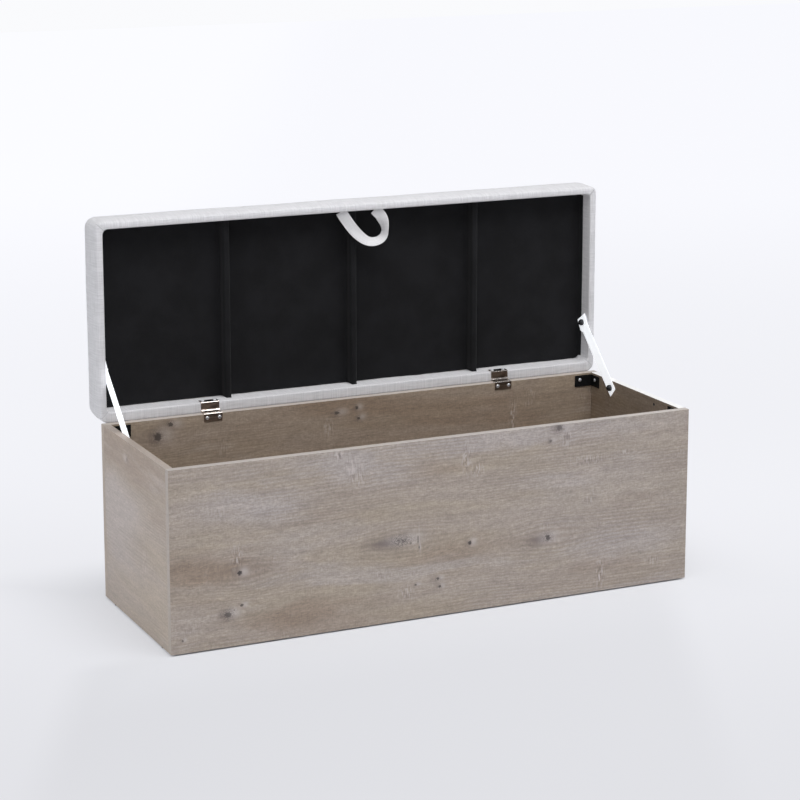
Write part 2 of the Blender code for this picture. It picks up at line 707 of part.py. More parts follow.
def build_cushion():
    """Foam pad with a thin skirt round the frame, under one stretched cover."""
    side = lid_profile()
    under = FABRIC + GAP
    foam = []
    for inset, level in side:
        if level < FOAM_SKIRT_START:
            continue
        blend = min(max((level - SIDE_HEIGHT) / (LID_THICKNESS - SIDE_HEIGHT), 0), 1)
        sink = under * math.sqrt(1 - (1 - blend) ** 2)
        foam.append((inset + under * (1 - blend), level - sink))
    body = FABRIC
    skirt_corner = LID_CORNER - body
    rings = [ring(body, BOARD_TOP + GAP, skirt_corner), ring(body, FOAM_SKIRT_START, skirt_corner)]
    rings += [ring(inset, level, corner_at(inset)) for inset, level in foam]
    shape = bmesh.new()
    skin(shape, rings)
    make_part("foam_pad", finish_mesh("foam_pad", shape, 50), FOAM, LID)

    fold = 0.0024
    small = 0.0005
    width = RIM_WIDTH
    outer = [(width, FABRIC_TURN_IN, small), (width, fold, small)]
    outer += [(width - 0.30 * fold, 0.30 * fold, small + 0.30 * fold),
              (width - fold, 0.0, small + fold), (fold, 0.0, LID_CORNER - fold),
              (0.30 * fold, 0.30 * fold, LID_CORNER - 0.30 * fold)]
    outer += [(inset, level, corner_at(inset)) for inset, level in side]
    inner = []
    for inset, level in side[::-1]:
        blend = min(max((level - SIDE_HEIGHT) / (LID_THICKNESS - SIDE_HEIGHT), 0), 1)
        sink = FABRIC * math.sqrt(1 - (1 - blend) ** 2)
        inner.append((inset + FABRIC * (1 - blend), level - sink, corner_at(inset + FABRIC)))
    bend = fold - FABRIC
    inner = inner[:-1]
    inner += [(FABRIC, fold + 0.003, LID_CORNER - FABRIC), (FABRIC, fold, LID_CORNER - FABRIC),
              (FABRIC + 0.30 * bend, FABRIC + 0.30 * bend, LID_CORNER - FABRIC - 0.30 * bend),
              (FABRIC + bend, FABRIC, LID_CORNER - FABRIC - bend)]
    tucked = width - FABRIC
    inner += [(tucked - bend, FABRIC, small + FABRIC + bend),
              (tucked - 0.30 * bend, FABRIC + 0.30 * bend, small + FABRIC + 0.30 * bend),
              (tucked, fold, small + FABRIC), (tucked, FABRIC_TURN_IN, small + FABRIC)]
    loops = [ring(inset, level, corner) for inset, level, corner in outer + inner]
    shape = bmesh.new()
    rows = [[shape.verts.new(point) for point in points] for points in loops]
    count = len(rows[0])
    top = len(outer) - 1
    for index, row in enumerate(rows):
        upper = rows[(index + 1) % len(rows)]
        if index == top:
            continue
        for spot in range(count):
            after = (spot + 1) % count
            shape.faces.new((row[spot], row[after], upper[after], upper[spot]))
    shape.faces.new(rows[top])
    shape.faces.new(rows[top + 1])
    cover = make_part("lid_cover", finish_mesh("lid_cover", shape, 50), LINEN, LID)
    shape = bmesh.new()
    hinge_screw_rods(shape, 0.0060)
    for way in (-1, 1):
        stay_rod(shape, way, 0.0055)
    cut(cover, shape)


def build_liner():
    """Black non-woven cloth over the slats and up both end rails."""
    face = LINER_FACE
    edge = HALF_LENGTH - RIM_WIDTH - GAP
    clear = GAP + SLAT_WIDTH / 2
    near = []
    far = []
    near += [(-edge, LINER_HEM_AT), (-edge, face + LINER)]
    far += [(-edge + LINER, LINER_HEM_AT), (-edge + LINER, face)]
    ridge = SLAT_FACE - GAP
    for _, x in SLATS:
        near += [(x - clear, face + LINER), (x - clear, ridge), (x + clear, ridge),
                 (x + clear, face + LINER)]
        far += [(x - clear - LINER, face), (x - clear - LINER, ridge - LINER),
                (x + clear + LINER, ridge - LINER), (x + clear + LINER, face)]
    near += [(edge, face + LINER), (edge, LINER_HEM_AT)]
    far += [(edge - LINER, face), (edge - LINER, LINER_HEM_AT)]
    outline = [(x, HINGE_RISE + level) for x, level in near + far[::-1]]
    shape = bmesh.new()
    start = RIM_START + RIM_WIDTH + GAP
    add_prism(shape, outline, "Z", start, RIM_START + LID_DEPTH - RIM_WIDTH - GAP)
    make_part("lid_liner", finish_mesh("lid_liner", shape), LINER_CLOTH, LID)


def build_loop():
    """Folded fabric pull loop, its two ends against the front rail."""
    top = LID_DEPTH - RIM_WIDTH - GAP
    stations = [
        (-0.514, 0.0, 12), (-0.414, 0.158, 10), (-0.307, 0.308, 8), (-0.179, 0.481, 4),
        (-0.021, 0.660, -4), (0.150, 0.818, -16), (0.336, 0.940, -30), (0.514, 1.0, -44),
        (0.693, 0.997, -55), (0.857, 0.940, -64), (0.964, 0.825, -73), (1.0, 0.682, -78),
        (0.986, 0.531, -66), (0.950, 0.402, -46), (0.900, 0.287, -26), (0.829, 0.179, -10),
        (0.643, 0.0, 0)]
    points = [lid_spot(x * LOOP_HALF_WIDTH, top - drop * LOOP_DROP, LOOP_IN_LID)
              for x, drop, _ in stations]
    last = len(points) - 1
    rows = []
    for index, point in enumerate(points):
        before = points[max(index - 1, 0)]
        after = points[min(index + 1, last)]
        along = (after - before).normalized()
        across = Vector((0, 1, 0)).cross(along).normalized()
        deep = along.cross(across).normalized()
        angle = math.radians(stations[index][2])
        wide = across * math.cos(angle) + deep * math.sin(angle)
        if index in (0, last):
            wide = Vector((1, 0, 0)) / max(abs(wide.x), 0.5) * (1 if wide.x > 0 else -1)
        thin = along.cross(wide).normalized()
        half = wide * LOOP_WIDTH / 2
        flat = thin * LOOP_THICKNESS / 2
        if index in (0, last):
            flat = Vector((0, math.copysign(LOOP_THICKNESS / 2, thin.y), 0))
        rows.append([point + half + flat, point - half + flat,
                     point - half - flat, point + half - flat])
    shape = bmesh.new()
    skin(shape, rows)
    make_part("pull_loop", finish_mesh("pull_loop", shape, 50), LINEN, LID)


# Stay straps
def build_straps():
    """Two straps from the side panels to the end rails, drawn tight by the open lid."""
    half = STRAP_WIDTH / 2
    tab = TAB_WIDTH / 2
    spin = Matrix.Rotation(TAB_TURN, 2)
    for where, end in (("left", -1), ("right", 1)):
        low, high = strap_ends(end)
        run = (high - low).normalized()
        side = Vector((-run.y, run.x))
        tab_run = spin @ run
        tab_side = spin @ side
        neck = (high - low).length + TAB_START - 0.004
        outline = [
            low - run * STRAP_END - side * half, low + run * neck - side * half,
            high + tab_run * TAB_START - tab_side * tab, high + tab_run * TAB_END - tab_side * tab,
            high + tab_run * TAB_END + tab_side * tab, high + tab_run * TAB_START + tab_side * tab,
            low + run * neck + side * half, low - run * STRAP_END + side * half]
        faces = sorted((end * (INNER_X - GAP), end * (INNER_X - GAP - STRAP_THICKNESS)))
        shape = bmesh.new()
        add_prism(shape, outline, "X", faces[0], faces[1])
        strap = make_part("stay_strap_" + where, finish_mesh("stay_strap", shape), TAPE, BOX)
        shape = bmesh.new()
        for spot in (low, high):
            add_rod(shape, (end * INNER_X, spot.x, spot.y),
                    (end * (INNER_X - 0.004), spot.x, spot.y), STAY_SHANK_RADIUS + GAP)
        cut(strap, shape)
        seat = end * (INNER_X - STRAP_THICKNESS - 2 * GAP)
        make_part("stay_screw_box_" + where, STAY_SCREW, BLACK_STEEL, BOX,
                  (seat, low.x, low.y), facing((-end, 0, 0)))
        make_part("stay_screw_lid_" + where, STAY_SCREW, BLACK_STEEL, LID,
                  (seat, high.x - AXIS_Y, high.y - AXIS_Z), facing((-end, 0, 0)))


clear_scene()
PARTS = bpy.data.collections.new("upholstered storage bench")
CUTTERS = bpy.data.collections.new("cutters")
bpy.context.scene.collection.children.link(PARTS)
bpy.context.scene.collection.children.link(CUTTERS)
CUTTERS.hide_render = True

WOOD = make_material("wood_effect_board", (0.40, 0.34, 0.29), 0.5)
BEECH = make_material("beech_dowel", (0.62, 0.47, 0.30), 0.6)
TIMBER = make_material("softwood", (0.66, 0.52, 0.36), 0.7)
PLASTIC = make_material("glide_plastic", (0.05, 0.05, 0.05), 0.5)
BLACK_STEEL = make_material("black_steel", (0.012, 0.012, 0.014), 0.4, 0.0)
ZINC = make_material("zinc_steel", (0.70, 0.71, 0.73), 0.3, 1.0)
NICKEL = make_material("nickel_steel", (0.75, 0.74, 0.72), 0.25, 1.0)
LINEN = make_material("linen_cover", (0.68, 0.68, 0.71), 0.9)
FOAM = make_material("foam", (0.85, 0.82, 0.70), 0.9)
LINER_CLOTH = make_material("black_liner", (0.012, 0.012, 0.014), 0.9)
TAPE = make_material("white_tape", (0.85, 0.85, 0.86), 0.7)

BOX = make_frame("box_frame", (0, SHIFT_Y, 0))
LID = make_frame("lid_axis", (0, SHIFT_Y + AXIS_Y, AXIS_Z))

CORNERS = ((-1, -1), (1, -1), (1, 1), (-1, 1))
CORNER_NAMES = {(-1, -1): "front_left", (1, -1): "front_right",
                (1, 1): "back_right", (-1, 1): "back_left"}
SLATS = (("lid_slat_left", -SLAT_SPACING), ("lid_slat_middle", 0.0),
         ("lid_slat_right", SLAT_SPACING))
SCREW_SPOTS = find_bracket_screws()

ZINC_SCREW = make_screw_mesh("zinc_screw", SCREW_HEAD_RADIUS, SCREW_HEAD_HEIGHT, SHANK_RADIUS,
                             SCREW_LENGTH, 12, 0.0009, ZINC)
NICKEL_SCREW = make_screw_mesh("nickel_screw", SCREW_HEAD_RADIUS, SCREW_HEAD_HEIGHT, SHANK_RADIUS,
                               SCREW_LENGTH, 12, 0.0009, NICKEL)
STAY_SCREW = make_screw_mesh("stay_screw", STAY_HEAD_RADIUS, STAY_HEAD_HEIGHT, STAY_SHANK_RADIUS,
                             STAY_LENGTH, 16, 0.0014, BLACK_STEEL)

build_box()
build_brackets()
build_hinges()
build_lid_frame()
build_cushion()
build_liner()
build_loop()
build_straps()
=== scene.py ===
"""The upholstered storage bench as it looks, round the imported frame. Everything is in metres."""
import math

import bmesh
import bpy
import numpy as np
from mathutils import Matrix, Vector, noise


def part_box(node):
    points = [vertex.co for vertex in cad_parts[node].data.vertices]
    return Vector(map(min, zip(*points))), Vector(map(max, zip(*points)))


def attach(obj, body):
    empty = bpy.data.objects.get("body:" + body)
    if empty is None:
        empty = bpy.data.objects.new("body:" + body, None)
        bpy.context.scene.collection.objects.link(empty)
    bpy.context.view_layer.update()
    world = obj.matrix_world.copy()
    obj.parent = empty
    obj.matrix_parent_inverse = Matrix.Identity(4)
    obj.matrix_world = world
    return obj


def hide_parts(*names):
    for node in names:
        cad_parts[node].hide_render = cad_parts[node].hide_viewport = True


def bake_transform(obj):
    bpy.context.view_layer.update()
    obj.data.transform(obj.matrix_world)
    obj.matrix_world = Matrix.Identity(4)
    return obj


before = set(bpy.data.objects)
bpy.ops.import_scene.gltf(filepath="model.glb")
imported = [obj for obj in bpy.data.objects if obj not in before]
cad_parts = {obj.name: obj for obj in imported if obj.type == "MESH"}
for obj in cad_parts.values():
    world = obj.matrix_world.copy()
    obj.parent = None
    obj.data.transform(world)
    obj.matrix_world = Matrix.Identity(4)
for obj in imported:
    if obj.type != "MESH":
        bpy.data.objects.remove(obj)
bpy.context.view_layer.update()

# Camera and light. A long lens stands to the left of the bench and a little above it.
# The light is a broad soft one from the upper left, with white all round, over a pale floor.
scene = bpy.context.scene
scene.view_settings.view_transform = "Standard"
camera_data = bpy.data.cameras.new("camera")
camera_data.lens = 108.3
camera_data.shift_y = -0.1125
camera_data.clip_end = 60
camera = bpy.data.objects.new("camera", camera_data)
camera.location = (-2.1255, -4.6005, 1.6416)
camera.rotation_euler = (math.radians(90 - 11.49), 0, math.radians(-25.04))
scene.collection.objects.link(camera)
scene.camera = camera


class Field:
    """A value or colour that changes over a surface, for use in plain arithmetic."""

    def __init__(self, socket):
        self.socket, self.tree = socket, socket.id_data

    def __add__(self, other):
        return calculate("ADD", self, other)

    def __sub__(self, other):
        return calculate("SUBTRACT", self, other)

    def __rsub__(self, other):
        return calculate("SUBTRACT", other, self)

    def __mul__(self, other):
        return calculate("MULTIPLY", self, other)

    def __truediv__(self, other):
        return calculate("DIVIDE", self, other)

    def __pow__(self, other):
        return calculate("POWER", self, other)

    def __abs__(self):
        return calculate("ABSOLUTE", self)


def fill_inputs(node, inputs):
    """Link fields to the inputs of a node and set plain values and colours."""
    for key, value in inputs.items():
        if isinstance(value, Field):
            value.tree.links.new(value.socket, node.inputs[key])
        else:
            node.inputs[key].default_value = (*value, 1) if isinstance(value, tuple) else value


def outputs_of(node):
    """The outputs of a node, by name and by number."""
    return {key: Field(socket) for number, socket in enumerate(node.outputs)
            for key in (socket.name, number)}


def add_node(tree, kind, inputs=None, **settings):
    """Add a shader node with its settings and inputs; returns its outputs."""
    node = tree.nodes.new(kind)
    for key, value in settings.items():
        setattr(node, key, value)
    fill_inputs(node, inputs or {})
    return outputs_of(node)


def tree_of(*values):
    """The node tree in which these values meet."""
    return next(value.tree for value in values if isinstance(value, Field))


def calculate(operation, first, second=0.0, third=0.0, clamp=False):
    """Arithmetic on one, two or three values."""
    return add_node(tree_of(first, second, third), "ShaderNodeMath",
                    {0: first, 1: second, 2: third}, operation=operation, use_clamp=clamp)[0]


def larger(first, second):
    """The larger of two values."""
    return calculate("MAXIMUM", first, second)


def mix_colours(factor, first, second, blend="MIX"):
    """Mix two colours by a factor."""
    return add_node(tree_of(factor, first, second), "ShaderNodeMix",
                    {0: factor, 6: first, 7: second}, data_type="RGBA", blend_type=blend)[2]


def fade(value, low, high, start=0.0, end=1.0):
    """Smooth step of a value between two levels."""
    return add_node(value.tree, "ShaderNodeMapRange", {
        "Value": value, "From Min": low, "From Max": high, "To Min": start, "To Max": end},
        interpolation_type="SMOOTHSTEP")[0]


def axes(tree, kind="Object"):
    """X, Y and Z of a point in the object's own frame, or of another coordinate of it."""
    return add_node(tree, "ShaderNodeSeparateXYZ",
                    {0: add_node(tree, "ShaderNodeTexCoord")[kind]})


world = bpy.data.worlds.new("studio")
scene.world = world
world.use_nodes = True
tree = world.node_tree
tree.nodes.clear()
path = add_node(tree, "ShaderNodeLightPath")
mirrored = larger(path["Is Glossy Ray"], path["Is Transmission Ray"])
# The room in front of the bench is dimmer than the paper behind it, so metal shows contrast.
dim = mirrored * fade(axes(tree, "Generated")["Y"], 0.25, -0.55, 0.0, 0.80)
fill = add_node(tree, "ShaderNodeBackground", {"Color": (0.93, 0.96, 1.0), "Strength": 0.385})
white = add_node(tree, "ShaderNodeBackground", {"Color": (0.975, 0.98, 1.0),
                                                "Strength": (1.0 - dim) * 0.98})
both = add_node(tree, "ShaderNodeMixShader", {
    0: larger(path["Is Camera Ray"], mirrored), 1: fill[0], 2: white[0]})
add_node(tree, "ShaderNodeOutputWorld", {"Surface": both[0]})


def add_lamp(name, place, target, width, height, power):
    """A soft box aimed at a point."""
    data = bpy.data.lights.new(name, "AREA")
    data.shape = "RECTANGLE"
    data.size, data.size_y, data.energy = width, height, power
    lamp = bpy.data.objects.new(name, data)
    lamp.location = place
    lamp.rotation_euler = (Vector(target) - Vector(place)).to_track_quat("-Z", "Y").to_euler()
    scene.collection.objects.link(lamp)


add_lamp("top_lamp", (0.3, -1.3, 3.4), (0, 0, 0.3), 2.6, 2.6, 99)
add_lamp("low_left_lamp", (-3.2, -0.1, 0.10), (0, 0, 0.12), 2.6, 0.66, 33)
add_lamp("low_front_lamp", (-0.8, -3.6, 0.3), (0, 0, 0.2), 3.2, 1.0, 10)


def plain_finish(name, colour=(0.8, 0.8, 0.8), roughness=0.5, others=None):
    """Material of one colour, ready for its pattern; returns it, its tree and its shader."""
    material = bpy.data.materials.new(name)
    material.use_nodes = True
    shader = material.node_tree.nodes["Principled BSDF"]
    fill_inputs(shader, {"Base Color": colour, "Roughness": roughness, **(others or {})})
    return material, material.node_tree, shader


floor_shape = bmesh.new()
bmesh.ops.create_grid(floor_shape, x_segments=2, y_segments=2, size=14)
floor_mesh = bpy.data.meshes.new("floor")
floor_shape.to_mesh(floor_mesh)
floor = bpy.data.objects.new("floor", floor_mesh)
scene.collection.objects.link(floor)
floor_finish, tree, shader = plain_finish("floor_paper", (0.80, 0.81, 0.84), 0.9)
place = axes(tree)
# Half the box's length and depth, and how far its middle lies in front of the frame's own.
box_half_length, box_half_depth, box_forward = 0.600, 0.209, 0.044
beside = abs(place["X"])
before = abs(place["Y"] + box_forward)
clear = larger(fade(beside, 0.585, 0.605), fade(before, 0.205, 0.214))
away = larger(beside - box_half_length, before - box_half_depth)
# The paper grows lighter towards the back of the room; just before the bench its glow is dimmed, a
# painted shadow of the bench.
# Both are measured along and across the room's long axis, which lies at 25 degrees to the bench.
sine, cosine = 0.4233, 0.9060
deep = place["X"] * sine + place["Y"] * cosine
aside = place["X"] * cosine - place["Y"] * sine
bright = fade(deep, -1.3, 0.9, 0.806, 0.934) + fade(deep, 1.2, 6.0, 0.0, 0.092)
bright = bright + fade(deep, 0.3, 1.5) * fade(aside, -0.3, -1.2, 0.0, 0.028)
# Painted shadow: a band of the floor just before the bench glows less.
painted_bench_shadow = fade(abs(aside), 0.55, 0.66, 1.0, 0.0) * fade(place["Y"], -0.20, -0.28)
painted_bench_shadow = painted_bench_shadow * fade(place["Y"], -1.3, -0.3, 0.025, 0.080)
path = add_node(tree, "ShaderNodeLightPath")
seen = larger(path["Is Camera Ray"], path["Is Glossy Ray"])
glow = add_node(tree, "ShaderNodeEmission", {"Color": (0.950, 0.955, 1.0),
                                             "Strength": bright * (1.0 - painted_bench_shadow)})
both = add_node(tree, "ShaderNodeMixShader", {
    0: fade(away, 0.0, 0.3, 0.62, 0.95) * (seen * clear), 1: outputs_of(shader)[0], 2: glow[0]})
fill_inputs(tree.nodes["Material Output"], {"Surface": both[0]})
floor_mesh.materials.append(floor_finish)

# Box of five boards. Chipboard under a matt printed foil: weathered oak in beige, taupe and a
# pinkish grey, with small dark knots. The same foil is ironed on to the boards' edges.


def new_group(name, inputs, outputs):
    """A node group with named sockets; returns it, the fields it is given and its output node."""
    group = bpy.data.node_groups.new(name, "ShaderNodeTree")
    for end, names in (("INPUT", inputs), ("OUTPUT", outputs)):
        for key in names:
            kind = "NodeSocketColor" if "Colour" in key else "NodeSocketFloat"
            group.interface.new_socket(key, in_out=end, socket_type=kind)
    return group, add_node(group, "NodeGroupInput"), group.nodes.new("NodeGroupOutput")


def use_group(tree, group, inputs):
    """Place a node group in a tree."""
    return add_node(tree, "ShaderNodeGroup", inputs, node_tree=group)


def noise_value(vector, scale=1.0, detail=2.0, roughness=0.5, distortion=0.0):
    """Fractal noise as one value."""
    return add_node(vector.tree, "ShaderNodeTexNoise", {
        "Vector": vector, "Scale": scale, "Detail": detail, "Roughness": roughness,
        "Distortion": distortion})[0]


def stretch(along, across, seed, by_along, by_across):
    """Vector for a noise that is drawn out along the grain."""
    return add_node(along.tree, "ShaderNodeCombineXYZ", {
        0: along * by_along, 1: across * by_across, 2: seed})[0]


def bell(first, second):
    """Falls smoothly from one as either of two distances grows."""
    return calculate("EXPONENT", (first ** 2.0 + second ** 2.0) * -1.0)


def emboss(height, strength, distance):
    """Fine relief: the normal that belongs to a height."""
    return add_node(height.tree, "ShaderNodeBump", {
        "Strength": strength, "Distance": distance, "Height": height})[0]


# Knots: place along the board, height, radius, length to width, heart, halo, cracks, bend of the
# grain and how far that reaches. Patches: place along, height, half length, half height, strength.
knot_measures = ("At Along", "At Across", "Size", "Stretch", "Heart", "Halo", "Cracks", "Bend",
                 "Reach")
patch_measures = ("At Along", "At Across", "Half Along", "Half Across", "Strength")


def make_knot_group():
    """One knot: grain bends round it, its heart is dark, cracks run through it, wood beside pales."""
    carried = ("Along", "Across", "Dark", "Smoke", "Pale", "Rings")
    group, s, end = new_group("knot", (*carried, "Ragged", *knot_measures), carried)
    da = s["Along"] - s["At Along"]
    dc = s["Across"] - s["At Across"]
    fall = bell(da / 2.2 / s["Reach"], dc / s["Reach"])
    a = da / s["Size"] / s["Stretch"]
    c = dc / s["Size"]
    near = a ** 2.0 + c ** 2.0
    uneven = s["Ragged"] - 0.5
    heart = fade(calculate("SQRT", near) + uneven * 1.4, 1.2, 0.65)
    crack = fade(abs(uneven), 0.075, 0.020) * calculate("EXPONENT", near * -0.24)
    smoke = bell((a + 0.4) / 2.2, c / 1.8)
    pale = bell((a - 1.9) / 2.2, (c - 0.4) / 2.0)
    fill_inputs(end, {
        "Along": s["Along"], "Across": s["Across"] - dc * fall * s["Bend"],
        "Dark": larger(larger(s["Dark"], heart * s["Heart"]), crack * s["Cracks"]),
        "Smoke": larger(s["Smoke"], smoke * s["Halo"]), "Pale": larger(s["Pale"], pale * 0.85),
        "Rings": larger(s["Rings"], fall * s["Bend"])})
    return group


def make_patch_group():
    """A soft oval patch, added to a mask."""
    group, s, end = new_group("patch", ("Along", "Across", "Mask", *patch_measures), ["Mask"])
    oval = bell((s["Along"] - s["At Along"]) / s["Half Along"],
                (s["Across"] - s["At Across"]) / s["Half Across"])
    fill_inputs(end, {"Mask": larger(s["Mask"], oval * s["Strength"])})
    return group


def make_oak_group():
    """Printed oak: drifting tone, growth lines, short fine grain and marks across it."""
    group, s, end = new_group("oak_print", (
        "Along", "Across", "Seed", "Dark", "Smoke", "Pale", "Rings", "Rays", "Flecks", "Brown",
        "Lilac"), ("Colour", "Height", "Roughness"))

    def drawn(by_along, by_across, shift, *kind):
        """Noise drawn out along the grain."""
        return noise_value(stretch(s["Along"], s["Across"], s["Seed"] + shift, by_along,
                                   by_across), 1.0, *kind)

    def shaded(tone, value, amount):
        """Lighten and darken a tone with a noise."""
        level = add_node(group, "ShaderNodeMapRange", {
            "Value": value, "From Min": 0.25, "From Max": 0.75, "To Min": 1 - amount,
            "To Max": 1 + amount}, clamp=False)
        return mix_colours(1.0, tone, level[0], "MULTIPLY")

    drift = drawn(2.1, 9.0, 0.0, 3.0, 0.55, 0.3)
    brown = calculate("MULTIPLY_ADD", fade(drift, 0.50, 0.30), 0.50, s["Brown"])
    lilac = calculate("MULTIPLY_ADD", fade(drift, 0.50, 0.68), 0.60, s["Lilac"])
    tone = mix_colours(fade(drawn(2.6, 15.0, 15.8, 3.0), 0.40, 0.66),
                       (0.370, 0.313, 0.272), (0.366, 0.306, 0.247))
    tone = mix_colours(fade(brown, 0.0, 1.0), tone, (0.285, 0.218, 0.170))
    tone = mix_colours(fade(lilac, 0.0, 1.0), tone, (0.405, 0.358, 0.340))
    tone = shaded(tone, drawn(9.0, 62.0, 3.1, 3.0, 0.6), 0.12)
    tone = shaded(tone, drawn(5.0, 225.0, 41.0, 2.0, 0.6), 0.05)
    tone = shaded(tone, drawn(34.0, 190.0, 21.0, 2.0, 0.6), 0.12)
    fine = drawn(135.0, 400.0, 7.7, 3.0, 0.65)
    tone = shaded(tone, fine, 0.25)
    tone = shaded(tone, drawn(430.0, 75.0, 27.0, 1.0), 0.09)
    phase = s["Across"] * 880.0 + drawn(1.6, 5.5, 5.3) * 46.0
    lines = calculate("MULTIPLY_ADD", calculate("SINE", phase), 0.5, 0.5) ** 1.5
    zone = larger(fade(drawn(3.2, 10.0, 9.2), 0.43, 0.66, 0.0, 0.36), s["Rings"] * 0.85)
    tone = mix_colours(lines * zone, tone, (0.225, 0.176, 0.142))
    pores = drawn(110.0, 820.0, 1.9)
    tone = mix_colours(fade(pores, 0.60, 0.76, 0.0, 0.40), tone, (0.155, 0.122, 0.100))
    marks = larger(fade(drawn(13.0, 17.0, 33.0), 0.62, 0.76, 0.0, 0.35), s["Flecks"])
    smoke = larger(s["Smoke"] * 0.88, marks * fade(s["Rays"], 0.47, 0.37, 0.0, 0.70))
    tone = mix_colours(smoke, tone, (0.125, 0.095, 0.091))
    pale = larger(s["Pale"] * 0.72, marks * fade(s["Rays"], 0.51, 0.60, 0.0, 0.95))
    tone = mix_colours(pale, tone, (0.535, 0.480, 0.465))
    dark = calculate("MULTIPLY", s["Dark"], 0.92, clamp=True)
    fill_inputs(end, {
        "Colour": mix_colours(dark, tone, (0.034, 0.026, 0.026)),
        "Height": fine * 0.6 - fade(pores, 0.58, 0.74) * 0.8,
        "Roughness": calculate("MULTIPLY_ADD", fine, 0.16, 0.46)})
    return group


knot_group = make_knot_group()
patch_group = make_patch_group()
oak_group = make_oak_group()


def oak_finish(name, along_axis, seed, knots=(), flecks=(), brown=(), lilac=(),
               tone_and_light_tint=(1.0, 1.0, 1.0), edge_highlight_tone=(0.540, 0.500, 0.470), edge_highlight_share=0.65,
               hole=None, calm=0.0):
    """Foil for one board, grain along X or Y, with knots, flecks, tinted patches, a tint of painted
    light and shade, a painted edge highlight and painted hole shade.
    """
    material, tree, shader = plain_finish(name)
    place, facing = axes(tree), axes(tree, "Normal")
    other = {"X": "Y", "Y": "X"}[along_axis]
    end_face = calculate("GREATER_THAN", abs(facing[along_axis]), 0.7)
    top_face = calculate("GREATER_THAN", abs(facing["Z"]), 0.7)
    along = add_node(tree, "ShaderNodeMix", {
        0: end_face, 2: place[along_axis], 3: place["Z"]})[0]
    across = add_node(tree, "ShaderNodeMix", {
        0: end_face, 2: place["Z"] + place[other], 3: place[other]})[0]
    ragged = noise_value(stretch(along, across, seed + 0.4, 260.0, 400.0))
    rays = noise_value(stretch(along, across, seed + 0.9, 330.0, 62.0))
    values = {"Along": along, "Across": across, "Dark": 0.0, "Smoke": 0.0, "Pale": 0.0,
              "Rings": 0.0}
    for measures in knots:
        knot = use_group(tree, knot_group, {
            **values, "Ragged": ragged, **dict(zip(knot_measures, measures))})
        values = {key: knot[key] for key in values}
    wander = noise_value(stretch(along, across, seed + 3.0, 14.0, 32.0), 1.0, 3.0)
    drifted = calculate("MULTIPLY_ADD", wander - 0.5, 0.06, across)
    for key, patches, where in (("Flecks", flecks, across), ("Brown", brown, drifted),
                                ("Lilac", lilac, drifted)):
        values[key] = 0.0
        for measures in patches:
            values[key] = use_group(tree, patch_group, {
                "Along": along, "Across": where, "Mask": values[key],
                **dict(zip(patch_measures, measures))})["Mask"]
    oak = use_group(tree, oak_group, {**values, "Rays": rays, "Seed": seed})
    colour = mix_colours(calm, oak["Colour"], (0.345, 0.290, 0.248))
    # Painted light and shade: the tint lightens the left board, whose outside faces the light, and
    # darkens and warms the right board, seen from inside in shade.
    colour = mix_colours(1.0, colour, tone_and_light_tint, "MULTIPLY")
    # The ironed-on edging is plainer than the faces; its lighter tone, strongest on top, is a painted
    # highlight where light grazes the edges.
    colour = mix_colours(larger(end_face * 0.4, top_face) * edge_highlight_share, colour, edge_highlight_tone)
    if hole:
        # Painted shade: the walls and bottom of the hole are painted dark.
        beside, above, radius, deepest = hole
        painted_hole_shade = ((place["Y"] - beside) / radius) ** 2.0 + ((place["Z"] - above) / radius) ** 2.0
        painted_hole_shade = calculate("LESS_THAN", painted_hole_shade, 1.0) * calculate("LESS_THAN", place["X"], deepest)
        colour = mix_colours(painted_hole_shade, colour, (0.045, 0.050, 0.060))
    fill_inputs(shader, {"Base Color": colour, "Roughness": oak["Roughness"],
                         "Normal": emboss(oak["Height"], 0.25, 0.0002)})
    return material


def dress(node, material):
    """Give a CAD node a finish in every slot."""
    for slot in bpy.data.objects[node].material_slots:
        slot.material = material


front_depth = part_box("front_panel")[0][1]
back_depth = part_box("back_panel")[0][1]
front_knots = [
    (-0.4509, 0.1560, 0.0050, 1.0, 1.00, 0.45, 0.0, 0.75, 0.040),
    (-0.4475, 0.0901, 0.0038, 1.0, 0.85, 0.30, 0.0, 0.45, 0.014),
    (-0.4640, 0.0830, 0.0018, 1.0, 0.60, 0.10, 0.0, 0.00, 0.010),
    (-0.4780, 0.0733, 0.0066, 1.1, 0.75, 0.60, 0.9, 0.55, 0.022),
    (-0.1210, 0.1752, 0.0062, 2.6, 0.00, 1.00, 0.0, 0.00, 0.020),
    (-0.0530, 0.1745, 0.0100, 0.12, 0.80, 0.05, 0.0, 0.00, 0.016),
    (-0.0505, 0.1570, 0.0052, 0.24, 0.85, 0.10, 0.0, 0.00, 0.016),
    (-0.0697, 0.1690, 0.0028, 1.2, 0.60, 0.10, 0.3, 0.00, 0.012),
    (-0.0904, 0.1765, 0.0072, 1.7, 0.30, 0.30, 1.0, 0.62, 0.052),
    (0.0676, 0.1539, 0.0043, 1.0, 0.98, 0.35, 0.0, 0.55, 0.020),
    (-0.0071, 0.0849, 0.0030, 1.2, 0.85, 0.20, 0.6, 0.30, 0.012),
    (-0.0023, 0.0667, 0.0034, 0.9, 0.85, 0.20, 0.6, 0.30, 0.012),
    (-0.0581, 0.0788, 0.0024, 1.3, 0.80, 0.15, 0.3, 0.20, 0.010),
    (0.2350, 0.1370, 0.0064, 1.8, 0.00, 0.85, 0.0, 0.00, 0.020),
    (0.2543, 0.1400, 0.0062, 1.0, 0.85, 0.60, 1.0, 0.62, 0.046),
    (0.2799, 0.3790, 0.0062, 1.2, 0.65, 0.65, 0.6, 0.40, 0.022),
    (0.2585, 0.3543, 0.0034, 1.0, 0.65, 0.30, 0.4, 0.30, 0.014),
    (-0.5751, 0.0306, 0.0026, 0.9, 0.75, 0.20, 0.4, 0.30, 0.012)]
